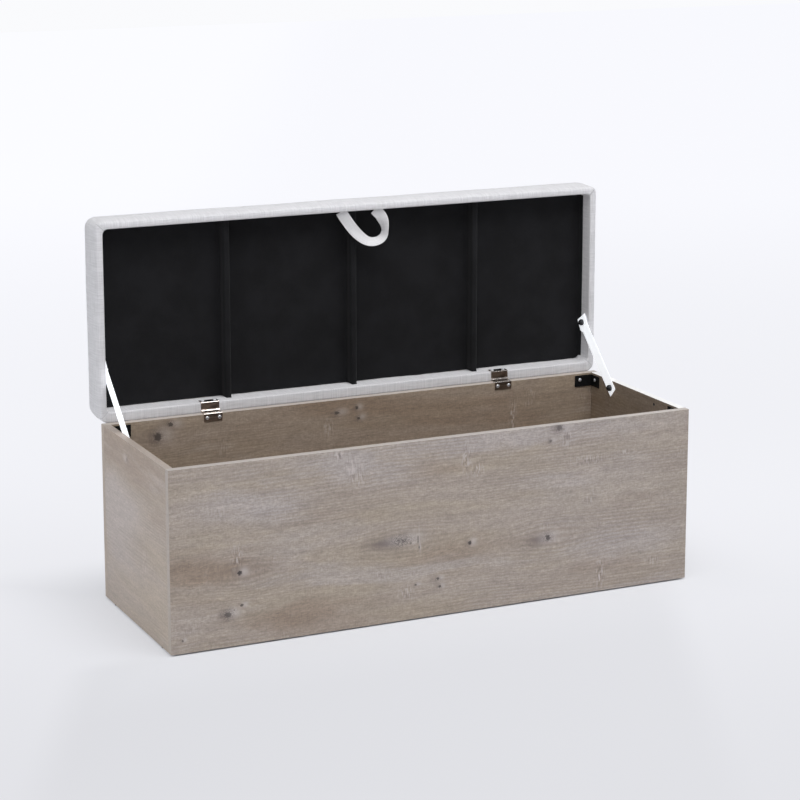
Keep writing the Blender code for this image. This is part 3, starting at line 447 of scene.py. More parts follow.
front_flecks = [
    (0.0594, 0.3396, 0.010, 0.030, 1.0), (0.0854, 0.3100, 0.014, 0.014, 0.8),
    (0.2971, 0.3654, 0.012, 0.030, 0.8), (-0.2342, 0.3772, 0.009, 0.012, 0.9),
    (-0.2032, 0.3420, 0.010, 0.026, 0.9), (-0.1850, 0.3250, 0.012, 0.024, 0.6),
    (0.3837, 0.0420, 0.009, 0.030, 1.0), (0.4430, 0.3073, 0.020, 0.006, 0.6),
    (0.3500, 0.3000, 0.040, 0.009, 0.7), (-0.4560, 0.1900, 0.012, 0.024, 0.7),
    (-0.0800, 0.0620, 0.016, 0.016, 0.6)]
front_brown = [(-0.500, 0.165, 0.170, 0.030, 1.0), (0.020, 0.135, 0.130, 0.030, 0.6),
               (0.470, 0.200, 0.110, 0.016, 0.5), (-0.380, 0.050, 0.130, 0.026, 0.5),
               (-0.300, 0.240, 0.180, 0.040, 0.3)]
front_lilac = [(0.400, 0.240, 0.260, 0.150, 0.45), (-0.430, 0.300, 0.140, 0.034, 0.8),
               (0.180, 0.372, 0.420, 0.030, 0.9), (0.440, 0.110, 0.170, 0.050, 0.8),
               (-0.130, 0.330, 0.110, 0.034, 0.7), (0.080, 0.050, 0.160, 0.028, 0.4)]
back_knots = [
    (-0.4795, 0.3476, 0.0090, 1.0, 0.85, 0.60, 0.6, 0.60, 0.030),
    (-0.4497, 0.3665, 0.0054, 1.2, 0.80, 0.50, 0.5, 0.40, 0.020),
    (-0.0612, 0.3565, 0.0040, 1.6, 0.80, 0.40, 0.5, 0.50, 0.022),
    (-0.0127, 0.3629, 0.0038, 1.0, 0.85, 0.40, 0.4, 0.50, 0.020),
    (-0.0079, 0.3441, 0.0042, 1.0, 0.85, 0.40, 0.4, 0.50, 0.020)]
back_flecks = [(-0.0831, 0.3247, 0.014, 0.018, 0.7), (0.3791, 0.3037, 0.008, 0.034, 1.0),
               (-0.3300, 0.3100, 0.014, 0.024, 0.3)]


def on_board(marks, depth):
    """Put marks that are given by height on the face that lies at this depth."""
    return [(along, height + depth, *rest) for along, height, *rest in marks]


dress("front_panel", oak_finish("front_board_oak", "X", 2.0, *(
    on_board(marks, front_depth) for marks in (front_knots, front_flecks, front_brown,
                                               front_lilac))))
dress("back_panel", oak_finish("back_board_oak", "X", 31.0, on_board(back_knots, back_depth),
                               on_board(back_flecks, back_depth),
                               [(0.0, 0.30 + back_depth, 2.0, 0.40, 0.4)],
                               tone_and_light_tint=(1.04, 1.00, 0.93)))
# The left board's lighter tint is painted light; its edging carries less painted highlight.
dress("left_side_panel", oak_finish("left_board_oak", "Y", 17.0, *(
    on_board(marks, -box_half_length) for marks in (
        [(-0.0009, 0.3469, 0.0040, 1.4, 0.5, 0.3, 0.4, 0.3, 0.014)],
        [(-0.100, 0.150, 0.020, 0.030, 0.5), (0.060, 0.260, 0.014, 0.026, 0.5)],
        [(0.0, 0.355, 0.30, 0.050, 1.3)], [(0.060, 0.210, 0.140, 0.090, 1.0)])),
    tone_and_light_tint=(1.15, 1.15, 1.15), edge_highlight_share=0.30, calm=0.28))
# The right board is seen from inside, in shade: its darker, warmer tint is painted shade and its
# nearly white top edge a painted highlight. It has the spare pilot hole, whose walls carry a dark
# mark of painted shade 104 mm behind the board's front edge.
right_low, right_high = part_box("right_side_panel")
spare_hole = (right_low[1] + 0.104, right_high[2] - 0.0145, 0.0034, right_high[0] - 0.002)
dress("right_side_panel", oak_finish("right_board_oak", "Y", 44.0, *(
    on_board(marks, box_half_length) for marks in (
        [(-0.02, 0.21, 0.0050, 1.2, 0.8, 0.4, 0.5, 0.7, 0.030)],
        [(0.070, 0.300, 0.014, 0.026, 0.6)])),
    tone_and_light_tint=(0.85, 0.79, 0.69), edge_highlight_tone=(1.0, 1.0, 1.0), edge_highlight_share=0.85, hole=spare_hole))
dress("base_panel", oak_finish("base_board_oak", "X", 58.0, edge_highlight_share=0.0))

# Small parts of the box. Corner brackets of pressed steel in black lacquer, bright zinc-plated
# screws, moulded black glides under the side panels, and fluted beech dowels inside the joints.


def make_wear_and_shade_group():
    """Rubbed edges (on the nickel a painted highlight), painted shade in the hollows, cloudy tone and
    fine grit for metal and plastic.
    """
    group, s, end = new_group("wear_and_shade", ("Colour", "Edge Wear And Highlight Colour", "Amount", "Grain"),
                              ("Colour", "Height", "Smudge"))
    spot = add_node(group, "ShaderNodeTexCoord")["Object"]
    sharpness = add_node(group, "ShaderNodeNewGeometry")["Pointiness"]
    cloud = noise_value(spot, 110.0, 4.0, 0.6)
    # Sharp edges take the edge colour: rubbing on most finishes, a painted highlight on the nickel.
    tone = mix_colours(fade(sharpness, 0.53, 0.62) * s["Amount"], s["Colour"],
                       s["Edge Wear And Highlight Colour"])
    shade = add_node(group, "ShaderNodeMapRange", {"Value": cloud, "To Min": 0.86, "To Max": 1.10})
    tone = mix_colours(1.0, tone, shade[0], "MULTIPLY")
    # Painted shade: hollows such as screw recesses are darkened.
    tone = mix_colours(fade(sharpness, 0.48, 0.42, 0.0, 0.85), tone, (0.012, 0.012, 0.014))
    fill_inputs(end, {"Colour": tone, "Height": noise_value(spot, s["Grain"], 3.0, 0.6),
                      "Smudge": cloud})
    return group


wear_and_shade_group = make_wear_and_shade_group()


def worn_and_shaded_finish(name, colour, edge_wear_and_highlight, amount, roughness, metallic, grain, bump, smudge=0.12,
                gloss=0.5):
    """Metal or plastic with rubbed edges (on the nickel a painted highlight), painted shade in its
    hollows, smudges and a fine surface grain.
    """
    material, tree, shader = plain_finish(name, colour, roughness, {
        "Metallic": metallic, "Specular IOR Level": gloss})
    wear_and_shade = use_group(tree, wear_and_shade_group, {
        "Colour": colour, "Edge Wear And Highlight Colour": edge_wear_and_highlight, "Amount": amount, "Grain": grain})
    rough = add_node(tree, "ShaderNodeMapRange", {
        "Value": wear_and_shade["Smudge"], "To Min": roughness - smudge, "To Max": roughness + smudge})
    fill_inputs(shader, {"Base Color": wear_and_shade["Colour"], "Roughness": rough[0],
                         "Normal": emboss(wear_and_shade["Height"], bump, 0.00005)})
    return material


black_lacquer = worn_and_shaded_finish("black_lacquered_steel", (0.004, 0.004, 0.0045), (0.02, 0.02, 0.02),
                            0.5, 0.50, 0.0, 2600.0, 0.30, gloss=0.08)
zinc = worn_and_shaded_finish("zinc_plated_steel", (0.84, 0.86, 0.90), (0.92, 0.93, 0.95), 0.7, 0.38, 0.75,
                   3400.0, 0.22, 0.08)
glide_plastic = worn_and_shaded_finish("moulded_glide_plastic", (0.020, 0.020, 0.021), (0.06, 0.06, 0.06),
                            0.5, 0.55, 0.0, 1500.0, 0.35)


def timber_finish(name, light, dark, scale):
    """Raw wood with its grain along X."""
    material, tree, shader = plain_finish(name, light, 0.68)
    place = axes(tree)
    grain = noise_value(stretch(place["X"], place["Y"], place["Z"] * scale, scale * 0.05, scale),
                        1.0, 4.0, 0.6, 0.4)
    fill_inputs(shader, {"Base Color": mix_colours(fade(grain, 0.35, 0.68), light, dark),
                         "Normal": emboss(grain, 0.3, 0.0002)})
    return material


beech = timber_finish("raw_beech", (0.55, 0.37, 0.22), (0.42, 0.26, 0.14), 420.0)

corners = [back_front + "_" + side for back_front in ("front", "back") for side in ("left", "right")]
for corner in corners:
    dress("bracket_" + corner, black_lacquer)
    dress("glide_" + corner, glide_plastic)
    dress("dowel_" + corner, beech)
    for which in "ab":
        dress(f"bracket_screw_{corner}_{which}", zinc)

# Hinges. Two cranked butt hinges of nickel-plated steel, one leaf screwed inside the back panel
# and one inside the lid's rear rail, on a plain pin; bright countersunk screws hold both.
# Painted light on the nickel: its bright edge colour is a painted highlight, its dark brown base a
# painted reflection of the box's dark inside.
nickel = worn_and_shaded_finish("nickel_plated_steel", (0.150, 0.122, 0.102), (0.90, 0.83, 0.78), 1.0, 0.15,
                     1.0, 2800.0, 0.15, 0.05)
for side in ("left", "right"):
    for node in ("hinge_box_leaf_", "hinge_lid_leaf_", "hinge_pin_"):
        dress(node + side, nickel)
    for which in "ab":
        dress(f"hinge_box_screw_{side}_{which}", zinc)
        dress(f"hinge_lid_screw_{side}_{which}", zinc)

# Frame of the lid. Planed softwood rails, slats set on edge and a thin board, all hidden by the
# cover and the lining; they stay as the CAD has them.
softwood = timber_finish("raw_softwood", (0.62, 0.46, 0.29), (0.44, 0.29, 0.16), 220.0)
for node in ("lid_rail_rear", "lid_rail_front", "lid_rail_left", "lid_rail_right",
             "lid_slat_left", "lid_slat_middle", "lid_slat_right", "lid_board"):
    dress(node, softwood)

# Padded lid. A foam pad with wadding down the sides, under one pale linen-look cover that is
# pulled over the rim, folded at the corners and turned in on the rails, where staples hold it.
# The lid is modelled open: its rim lies towards the front, its rear edge low.
rim_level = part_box("lid_cover")[0][1]
lid_low = 0.3927
lid_depth = 0.424
half_length = 0.600
rear_extra = 0.0085
rim_width = 0.0146
turn_in = 0.0490
corner_radius = 0.0125
# The sides bulge a little and end in a soft edge, from where a low crown rises.
bulge = 0.0050
side_height = 0.068
crown_start = 0.079
lid_thickness = 0.085
rise = lid_thickness - crown_start


def make_weave_group():
    """Linen-look plain weave: uneven threads both ways, with slubs."""
    group, s, end = new_group("weave", ("Along", "Across", "Pitch", "Slub"),
                              ("Height", "Shade", "Thread"))

    def threads(value, other, seed):
        """The wave of the threads that lie one way, and how thick each thread is."""
        wobble = noise_value(stretch(value, other, seed, 60.0, 9.0))
        turn = value * calculate("DIVIDE", 2 * math.pi, s["Pitch"]) + wobble * 5.0
        thread = add_node(group, "ShaderNodeCombineXYZ", {
            0: value / s["Pitch"], 1: other * 22.0, 2: seed})[0]
        return calculate("SINE", turn), noise_value(thread, 1.0, 2.0, 0.6)

    warp, warp_line = threads(s["Along"], s["Across"], 2.0)
    weft, weft_line = threads(s["Across"], s["Along"], 8.0)
    body = (abs(warp) + abs(weft)) * 0.30 + warp * weft * 0.25
    slubs = (warp_line + weft_line) * 0.5
    fill_inputs(end, {"Height": body + slubs * s["Slub"],
                      "Shade": fade(slubs, 0.34, 0.66, 0.86, 1.07) + body * 0.06,
                      "Thread": fade(weft_line, 0.52, 0.72)})
    return group


weave_group = make_weave_group()


def mitre_crease(tree):
    """Fold line of the cloth from each corner of the rim inwards: its line, painted dark as the
    crease's shade, and its step.
    """
    place = axes(tree)
    spot = add_node(tree, "ShaderNodeTexCoord")["Object"]
    wander = calculate("MULTIPLY_ADD", noise_value(spot, 160.0), 0.0016, -0.0008)
    from_end = half_length - abs(place["X"])
    from_edge = lid_depth / 2 - abs(place["Z"] - (lid_low + lid_depth / 2))
    gap = from_end - from_edge + wander
    rim = fade(place["Y"], rim_level + 0.010, rim_level + 0.004) * fade(from_end, 0.026, 0.018)
    return fade(abs(gap), 0.0014, 0.0003) * rim, fade(gap, -0.0012, 0.0012) * rim


def cloth_run(tree):
    """X and Y of a cloth's own run, which its mesh carries as a layer."""
    layer = add_node(tree, "ShaderNodeAttribute", attribute_name="run")
    return add_node(tree, "ShaderNodeSeparateXYZ", {0: layer["Vector"]})


def linen_finish(name, colour, pitch, bump, mitred=False):
    """Woven cloth whose threads follow X and the cloth's own run."""
    material, tree, shader = plain_finish(name, colour, 0.88, {
        "Sheen Weight": 0.25, "Sheen Roughness": 0.6, "Specular IOR Level": 0.25})
    run = cloth_run(tree)
    weave = use_group(tree, weave_group, {
        "Along": run["X"], "Across": run["Y"], "Pitch": pitch, "Slub": 0.8})
    tone = mix_colours(1.0, colour, weave["Shade"], "MULTIPLY")
    tone = mix_colours(weave["Thread"] * 0.20, tone, tuple(part * 0.72 for part in colour))
    height = weave["Height"]
    if mitred:
        line, step = mitre_crease(tree)
        # Painted shade: the fold line is darkened as the crease's shade.
        tone = mix_colours(line * 0.55, tone, tuple(part * 0.45 for part in colour))
        height = height + step * 3.0
    fill_inputs(shader, {"Base Color": tone, "Normal": emboss(height, bump, 0.0003)})
    return material


linen = linen_finish("linen_look_cover", (0.665, 0.655, 0.672), 0.0028, 0.70, mitred=True)


def ramp(value, start, length):
    """Rises from nought to one over a length."""
    return min(max((value - start) / length, 0), 1)


def soft_corner(inset, level):
    """Plan radius of the lid's corner, growing softly up the side and towards the crown."""
    growth = 0.008 * ramp(level, 0.004, 0.020)
    return corner_radius - inset + growth if inset <= 0 else corner_radius + growth + 0.35 * inset


def smooth_run(points, step):
    """Points spaced evenly along a smooth curve through the given ones."""
    points = np.array(points, float)
    ends = np.vstack([2 * points[0] - points[1], points, 2 * points[-1] - points[-2]])
    fine = []
    for index in range(1, len(ends) - 2):
        a, b, c, d = ends[index - 1:index + 3]
        for t in np.linspace(0, 1, 24, endpoint=False):
            fine.append(0.5 * (2 * b + (c - a) * t + (2 * a - 5 * b + 4 * c - d) * t ** 2
                               + (3 * b - a - 3 * c + d) * t ** 3))
    fine.append(points[-1])
    fine = np.array(fine)
    gaps = np.linalg.norm(np.diff(fine[:, :2], axis=0), axis=1)
    length = np.concatenate([[0], np.cumsum(gaps)])
    count = max(2, int(round(length[-1] / step)) + 1)
    at = np.linspace(0, length[-1], count)
    return np.column_stack([np.interp(at, length, fine[:, k]) for k in range(points.shape[1])]), at


# Sections of the cover, each point an inset from the outline, a level over the rim and a radius.
fold = 0.0030
inside = [(rim_width, turn_in, 0.0100), (rim_width, 0.030, 0.0110), (rim_width, 0.015, 0.0120),
          (rim_width, fold, 0.0120)]
over_rim = [(rim_width, fold, 0.0120), (rim_width - 0.12 * fold, 0.45 * fold, 0.0120),
            (rim_width - 0.45 * fold, 0.12 * fold, 0.0120), (rim_width - fold, 0.0, 0.0118),
            (rim_width / 2, -0.0004, 0.0105), (fold, 0.0, corner_radius - fold),
            (0.45 * fold, 0.12 * fold, corner_radius - 0.45 * fold),
            (0.12 * fold, 0.45 * fold, corner_radius - 0.12 * fold), (0.0, fold, corner_radius)]
up_side = [(0.0, fold, corner_radius)]
for share, level in ((-0.22, 0.07 * side_height), (-0.55, 0.19 * side_height),
                     (-0.86, 0.37 * side_height), (-1.0, 0.57 * side_height),
                     (-0.97, 0.78 * side_height), (-0.80, 0.92 * side_height),
                     (-0.36, side_height + 0.25 * (crown_start - side_height)),
                     (0.70, side_height + 0.62 * (crown_start - side_height)),
                     (2.10, side_height + 0.86 * (crown_start - side_height)),
                     (4.20, crown_start)):
    up_side.append((share * bulge, level, soft_corner(share * bulge, level)))
over_crown = [up_side[-1]]
for inset, share in ((0.040, 0.34), (0.075, 0.64), (0.120, 0.87), (0.165, 1.0), (0.204, 1.04)):
    over_crown.append((inset, crown_start + share * rise, soft_corner(inset, crown_start)))

sections = []
spent = 0.0
for run, step in ((inside, 0.007), (over_rim, 0.0014), (up_side, 0.0042), (over_crown, 0.012)):
    points, lengths = smooth_run(run, step)
    begin = 1 if sections else 0
    for point, length in list(zip(points, lengths))[begin:]:
        sections.append((*point, spent + length))
    spent += lengths[-1]

# Steps along a long side, a short side and a corner of the cover's plan. A point's turn runs
# from -0.5 to 0.5 round a corner, and is far beyond that on the straight sides.
long_count, short_count, turn_count = 96, 34, 9
straight = 9.0


def outline_at(inset, corner):
    """One closed loop of the lid's plan: point, direction outward, share of a corner's turn."""
    extra = rear_extra * (1 - ramp(inset, 0.0013, 0.010))
    half = half_length - inset
    low = inset - extra
    high = lid_depth - inset
    corner = max(min(corner, (high - low) / 2 - 0.002), 0.0004)
    rear = corner + extra
    loop = []
    corners_at = (((half - corner, high - corner), 0, corner),
                  ((-half + corner, high - corner), 90, corner),
                  ((-half + rear, low + rear), 180, rear), ((half - rear, low + rear), 270, rear))
    for index, ((cx, cz), start_angle, radius) in enumerate(corners_at):
        for step in range(turn_count + 1):
            angle = math.radians(start_angle + 90 * step / turn_count)
            loop.append((cx + radius * math.cos(angle), cz + radius * math.sin(angle),
                         math.cos(angle), math.sin(angle), step / turn_count - 0.5))
        count = long_count if index % 2 == 0 else short_count
        x, z, out_x, out_z, _ = loop[-1]
        (nx, nz), next_angle, next_radius = corners_at[(index + 1) % 4]
        end_angle = math.radians(next_angle)
        next_x = nx + next_radius * math.cos(end_angle)
        next_z = nz + next_radius * math.sin(end_angle)
        for share in (step / count for step in range(1, count)):
            loop.append((x + (next_x - x) * share, z + (next_z - z) * share, out_x, out_z,
                         straight))
    return loop


def cloth_point(x, z, out_x, out_z, turn, inset, level):
    """Where the cover lies, with the pull of the cloth and the folds at the corners."""
    wander = noise.noise(Vector((x * 9.0, z * 9.0, level * 30.0)))
    ripple = noise.noise(Vector((x * 42.0, z * 42.0, level * 60.0 + 5.0)))
    push = (0.0009 * wander + 0.00022 * ripple) * ramp(level, 0.004, 0.02)
    lift = 0.0
    if turn < 1 and level < 0.012 and inset < rim_width + 0.001:
        near = math.exp(-(turn / 0.07) ** 2)
        side_step = 0.5 + 0.5 * math.tanh(turn / 0.05)
        lift -= (0.0009 * side_step * math.exp(-(turn / 0.34) ** 2) - 0.0007 * near) \
            * (1 - ramp(level, 0.004, 0.008))
    if level <= 0.004:
        lift += 0.00025 * ripple + 0.0002 * wander
    if inset >= rim_width - 0.0005 and level > 0.004:
        push -= 0.00035 * ripple * min((turn_in - level) / 0.01, 1)
    if inset > 0.03:
        lift += 0.0010 * wander * min((inset - 0.03) / 0.03, 1)
    inward = 1 if inset < rim_width - 0.0005 or level > turn_in else -1
    return Vector((x + out_x * push * inward, rim_level + level + lift,
                   lid_low + z + out_z * push * inward))


def skin(shape, rings, closed=True):
    """Join rings of vertices, or open rows of them, with four-sided faces."""
    count = len(rings[0])
    for lower, upper in zip(rings, rings[1:]):
        for index in range(count if closed else count - 1):
            after = (index + 1) % count
            shape.faces.new((lower[index], lower[after], upper[after], upper[index]))


def make_piece(name, shape, material, smooth=True):
    """Turn a finished shape into an object of one material."""
    bmesh.ops.recalc_face_normals(shape, faces=shape.faces[:])
    mesh = bpy.data.meshes.new(name)
    shape.to_mesh(mesh)
    shape.free()
    mesh.polygons.foreach_set("use_smooth", [smooth] * len(mesh.polygons))
    mesh.materials.append(material)
    piece = bpy.data.objects.new(name, mesh)
    scene.collection.objects.link(piece)
    return piece


# The weave runs round the sides and from end to end of the crown, each with its own start.
ends_start, crown_run_start = 7.0, 3.0
shape = bmesh.new()
run_layer = shape.verts.layers.float_vector.new("run")
rows = []
for inset, level, corner, run in sections:
    row = []
    for x, z, out_x, out_z, turn in outline_at(inset, corner):
        vertex = shape.verts.new(cloth_point(x, z, out_x, out_z, turn, inset, level))
        along = x if abs(out_z) > abs(out_x) else z + ends_start
        vertex[run_layer] = (x, z + crown_run_start, 0) if inset > 0.021 else (along, run, 0)
        row.append(vertex)
    rows.append(row)
skin(shape, rows)
# The middle of the crown is closed with strips from one long side to the other.
last = rows[-1]
around = len(last)
first_long = [last[(turn_count + step) % around] for step in range(long_count + 1)]
start_far = 3 * turn_count + long_count + short_count
second_long = [last[(start_far + step) % around] for step in range(long_count + 1)][::-1]
skin(shape, (first_long, second_long), closed=False)
left_end = [last[(turn_count + long_count + step) % around]
            for step in range(start_far - turn_count - long_count + 1)]
right_end = [last[(start_far + long_count + step) % around]
             for step in range(around - start_far - long_count + turn_count + 1)]
shape.faces.new(left_end)
shape.faces.new(right_end)
# Behind the cloth a channel is left free for the rails, and the foam lies on the thin board.
cloth, tight = 0.0011, 0.0008
board_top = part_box("lid_board")[1][1] - rim_level
row = rows[0]
for inset, level, corner in ((rim_width - cloth, turn_in, tight),
                             (rim_width - cloth, cloth, tight),
                             (cloth, cloth, corner_radius - cloth),
                             (cloth, board_top, corner_radius - cloth)):
    under = [shape.verts.new((x, rim_level + level, lid_low + z))
             for x, z, *_ in outline_at(inset, corner)]
    skin(shape, (under, row))
    row = under
shape.faces.new(row[::-1])
cover = make_piece("padded_cover", shape, linen)
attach(cover, "lid")
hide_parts("lid_cover", "foam_pad")

# Lining of the lid. Black spun-bonded cloth, stretched over the three slats and stapled up the
# rails; it shows a ridge over each slat, and its cut edge wanders a little.
liner_face, ridge_face = 0.2186, 0.1911
slat_half, slat_spacing = 0.0105 / 2, 0.300
play = 0.0004
liner_edge = half_length - rim_width - play
hem_rise = 0.0165
liner_low = lid_low + rim_width + play
liner_high = lid_low + lid_depth - rim_width - play

black_cloth, tree, shader = plain_finish(
    "black_spun_bonded_cloth", (0.0062, 0.0062, 0.0074), 0.85,
    {"Specular IOR Level": 0.22, "Sheen Weight": 0.06, "Sheen Roughness": 0.5})
spot = add_node(tree, "ShaderNodeTexCoord")["Object"]
dots = add_node(tree, "ShaderNodeTexVoronoi", {
    "Vector": spot, "Scale": 620.0, "Randomness": 0.35})["Distance"]
fibre = noise_value(spot, 900.0, 4.0, 0.7, 0.6)
cloud = noise_value(spot, 14.0, 3.0, 0.55)
tone = mix_colours(fade(cloud, 0.35, 0.68), (0.0048, 0.0048, 0.0058), (0.0082, 0.0082, 0.0098))
fill_inputs(shader, {
    "Base Color": mix_colours(fade(fibre, 0.52, 0.75), tone, (0.018, 0.018, 0.021)),
    "Normal": emboss(fade(dots, 0.10, 0.34) + fibre * 0.5, 0.30, 0.0002)})

# Its section across the lid: up the left rail, flat between the slats, over each of them. The
# cloth turns softly into every wall.
soft = 0.0022
section = [(-liner_edge, liner_face - hem_rise), (-liner_edge, liner_face - soft),
           (-liner_edge + soft, liner_face)]
wall = slat_half + 0.0010
half_ridge = ((wall + 0.0030, liner_face), (wall + 0.0006, liner_face - soft),
              (wall, liner_face - 0.0060), (wall - 0.0001, ridge_face + 0.0016),
              (wall - 0.0016, ridge_face))
for centre in (-slat_spacing, 0.0, slat_spacing):
    section += [(centre - out, y) for out, y in half_ridge]
    section += [(centre + out, y) for out, y in half_ridge[::-1]]
section += [(liner_edge - soft, liner_face), (liner_edge, liner_face - soft),
            (liner_edge, liner_face - hem_rise)]
across = [section[0]]
for (x0, y0), (x1, y1) in zip(section, section[1:]):
    count = max(1, int(math.hypot(x1 - x0, y1 - y0) / 0.009))
    across += [(x0 + (x1 - x0) * k / count, y0 + (y1 - y0) * k / count)
               for k in range(1, count + 1)]
# Its rows down the lid lie closer together at the two turned edges, where the hem wanders.
height = liner_high - liner_low
down_rows = [0.0, 0.0012, 0.0030] + list(np.linspace(0.010, height - 0.010, 34)) \
    + [height - 0.0030, height - 0.0012, height]
shape = bmesh.new()
rows = []
for down in down_rows:
    row = []
    z = liner_low + down
    from_end = min(down, height - down)
    for x, y in across:
        pull = noise.noise(Vector((x * 14.0, z * 14.0, 3.0)))
        crease = noise.noise(Vector((x * 55.0, z * 9.0, 7.0)))
        slack = min(from_end / 0.02, 1) * min((liner_edge - abs(x)) / 0.01, 1)
        flat = y > liner_face - 0.001
        moved_y = y - (0.0007 * max(pull, 0) + 0.00025 * max(crease, 0)) * slack * flat
        if from_end == 0.0:
            edge = noise.noise(Vector((x * 33.0, down * 3.0, 1.0)))
            coarse = noise.noise(Vector((x * 9.0, down * 3.0, 4.0)))
            moved_y = min(min(moved_y, liner_face) - 0.0030 - 0.0034 * edge - 0.0026 * coarse,
                          liner_face)
            moved_y = moved_y if flat else min(moved_y, y)
        row.append(shape.verts.new((x, moved_y, z)))
    rows.append(row)
skin(shape, rows, closed=False)
liner = make_piece("lid_lining", shape, black_cloth)
thick = liner.modifiers.new("cloth", "SOLIDIFY")
thick.thickness = 0.0005
thick.offset = 0
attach(liner, "lid")
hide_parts("lid_liner")

# Pull loop. A strip of the cover's cloth folded double and stitched along both edges; its two
# ends are stapled inside the front rail, and it hangs with half a twist.
loop_level = rim_level + 0.010
loop_top = lid_low + lid_depth - rim_width - 0.0003
loop_reach, loop_drop = 0.070, 0.0717
# Stations along it: how far aside and how far down, as shares of the two above, and its twist.
stations = [
    (-0.514, 0.0, 12), (-0.414, 0.158, 10), (-0.307, 0.308, 8), (-0.179, 0.481, 4),
    (-0.021, 0.660, -4), (0.150, 0.818, -16), (0.336, 0.940, -30), (0.514, 1.0, -44),
    (0.693, 0.997, -55), (0.857, 0.940, -64), (0.964, 0.825, -73), (1.0, 0.682, -78),
    (0.986, 0.531, -66), (0.950, 0.402, -46), (0.900, 0.287, -26), (0.829, 0.179, -10),
    (0.643, 0.0, 0)]
fine, _ = smooth_run([(x * loop_reach, -drop * loop_drop, twist) for x, drop, twist in stations],
                     0.0022)
points = [Vector((x, loop_level, loop_top + z)) for x, z, _ in fine]
# Its half section, from edge to edge, with a row of stitches beside each edge.
half = 0.0125
near_edge = [(0.0, 0.0), (0.0004, 0.00065), (0.0013, 0.00085), (0.0022, 0.00060),
             (0.0034, 0.00080)]
front = [(-half + inset, out) for inset, out in near_edge] + [
    (-half / 2, 0.00078), (0.0, 0.00074), (half / 2, 0.00078)] + [
    (half - inset, out) for inset, out in near_edge[::-1]]
back, back_start = front[::-1][1:-1], 5.0

shape = bmesh.new()
run_layer = shape.verts.layers.float_vector.new("run")
rings = []
walked = 0.0
for index, (point, (_, _, twist)) in enumerate(zip(points, fine)):
    before, after = points[max(index - 1, 0)], points[min(index + 1, len(points) - 1)]
    walked += (point - before).length
    along = (after - before).normalized()
    across = Vector((0, 1, 0)).cross(along).normalized()
    deep = along.cross(across).normalized()
    angle = math.radians(twist)
    wide = across * math.cos(angle) + deep * math.sin(angle)
    thin = along.cross(wide).normalized()
    ring = []
    for sides, way, start in ((front, 1, 0.0), (back, -1, back_start)):
        for aside, out in sides:
            ring.append(shape.verts.new(point + wide * aside + thin * (way * out)))
            ring[-1][run_layer] = (aside, walked + start, 0)
    rings.append(ring)
skin(shape, rings)
shape.faces.new(rings[0][::-1])
shape.faces.new(rings[-1])
loop = make_piece("pull_loop_cloth", shape,
                  linen_finish("linen_look_loop", (0.70, 0.69, 0.70), 0.0024, 0.5))
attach(loop, "lid")
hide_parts("pull_loop")

# Stay straps. White woven tape from the side panels to the lid's end rails, drawn tight by the
# open lid. The lower end is cut square, the upper one is a wider tab, and a large black
# round-head screw holds each end.
black_screw = worn_and_shaded_finish("black_phosphated_screw", (0.020, 0.021, 0.024), (0.10, 0.10, 0.11), 0.7,
                          0.24, 0.3, 2200.0, 0.25)
# The tape glows faintly: painted light that lifts it to full white.
tape, tree, shader = plain_finish("white_woven_tape", (0.90, 0.905, 0.92), 0.72, {
    "Sheen Weight": 0.2, "Emission Color": (0.93, 0.96, 1.0), "Emission Strength": 0.66})
rib_pitch, zigzag_width = 0.0014, 0.0025
run = cloth_run(tree)
zigzag = calculate("PINGPONG", run["X"], zigzag_width)
rib = calculate("SINE", (run["Y"] + zigzag) * (2 * math.pi / rib_pitch))
fill_inputs(shader, {"Base Color": mix_colours(fade(rib, -0.9, 0.2), (0.80, 0.805, 0.82),
                                               (0.91, 0.915, 0.93)),
                     "Normal": emboss(rib, 0.35, 0.0002)})

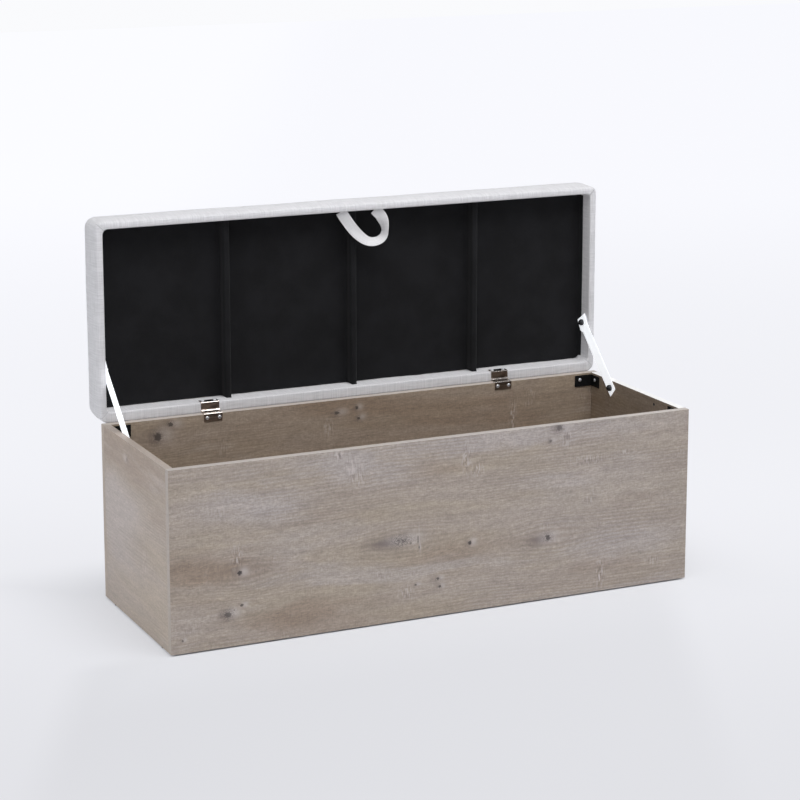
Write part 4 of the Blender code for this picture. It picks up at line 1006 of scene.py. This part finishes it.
# Inner face of the side panels, and the tape's own measures.
inner_x = 0.584
strap_half, tab_half, end_over = 0.0150, 0.0185, 0.0140
strap_thick, tab_thick, edge = 0.0011, 0.0015, 0.0004
tab_turn = math.radians(14)
# Each strap runs between two screws, which are given by their depth and height.
for side, end, low, high in (("left", -1, Vector((0.0333, 0.3689)), Vector((0.1920, 0.5045))),
                             ("right", 1, Vector((0.0573, 0.3689)), Vector((0.1920, 0.4970)))):
    run_way = (high - low).normalized()
    tab_way = Matrix.Rotation(tab_turn, 2) @ run_way
    outer = end * (inner_x - play)
    length = (high - low).length
    marks = [(-end_over, strap_half), (-end_over + 0.0005, strap_half)] + [
        (at, strap_half) for at in np.arange(-0.010, length - 0.024, 0.004)] + [
        (length - 0.0205, strap_half), (length - 0.0185, tab_half)]
    # Each cut through the strap has a centre, a direction, half a width and a thickness.
    cuts = []
    for at, half_width in marks:
        way = run_way.lerp(tab_way, ramp(at, length - 0.030, 0.012)).normalized()
        thick = strap_thick if half_width < tab_half else tab_thick
        cuts.append((low + run_way * at, way, half_width, thick))
    for at in (-0.013, -0.007, 0.0, 0.007, 0.0135, end_over):
        cuts.append((high + tab_way * at, tab_way, tab_half, tab_thick))
    shape = bmesh.new()
    run_layer = shape.verts.layers.float_vector.new("run")
    rings = []
    walked = 0.0
    before = cuts[0][0]
    for centre, way, half_width, thick in cuts:
        walked += (centre - before).length
        before = centre
        wide = Vector((-way.y, way.x))
        ring = []
        for share, inset_x in ((-1, edge), (-0.97, 0), (-0.5, 0), (0, 0), (0.5, 0), (0.97, 0),
                               (1, edge), (1, thick - edge), (0.97, thick), (0.5, thick),
                               (0, thick), (-0.5, thick), (-0.97, thick), (-1, thick - edge)):
            place = centre + wide * half_width * share
            ring.append(shape.verts.new((outer - end * inset_x, place.x, place.y)))
            ring[-1][run_layer] = (half_width * share + 0.02, walked, 0)
        rings.append(ring)
    skin(shape, rings)
    shape.faces.new(rings[0][::-1])
    shape.faces.new(rings[-1])
    strap = make_piece("stay_tape_" + side, shape, tape, smooth=False)
    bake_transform(strap)
    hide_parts("stay_strap_" + side)
    dress("stay_screw_box_" + side, black_screw)
    dress("stay_screw_lid_" + side, black_screw)
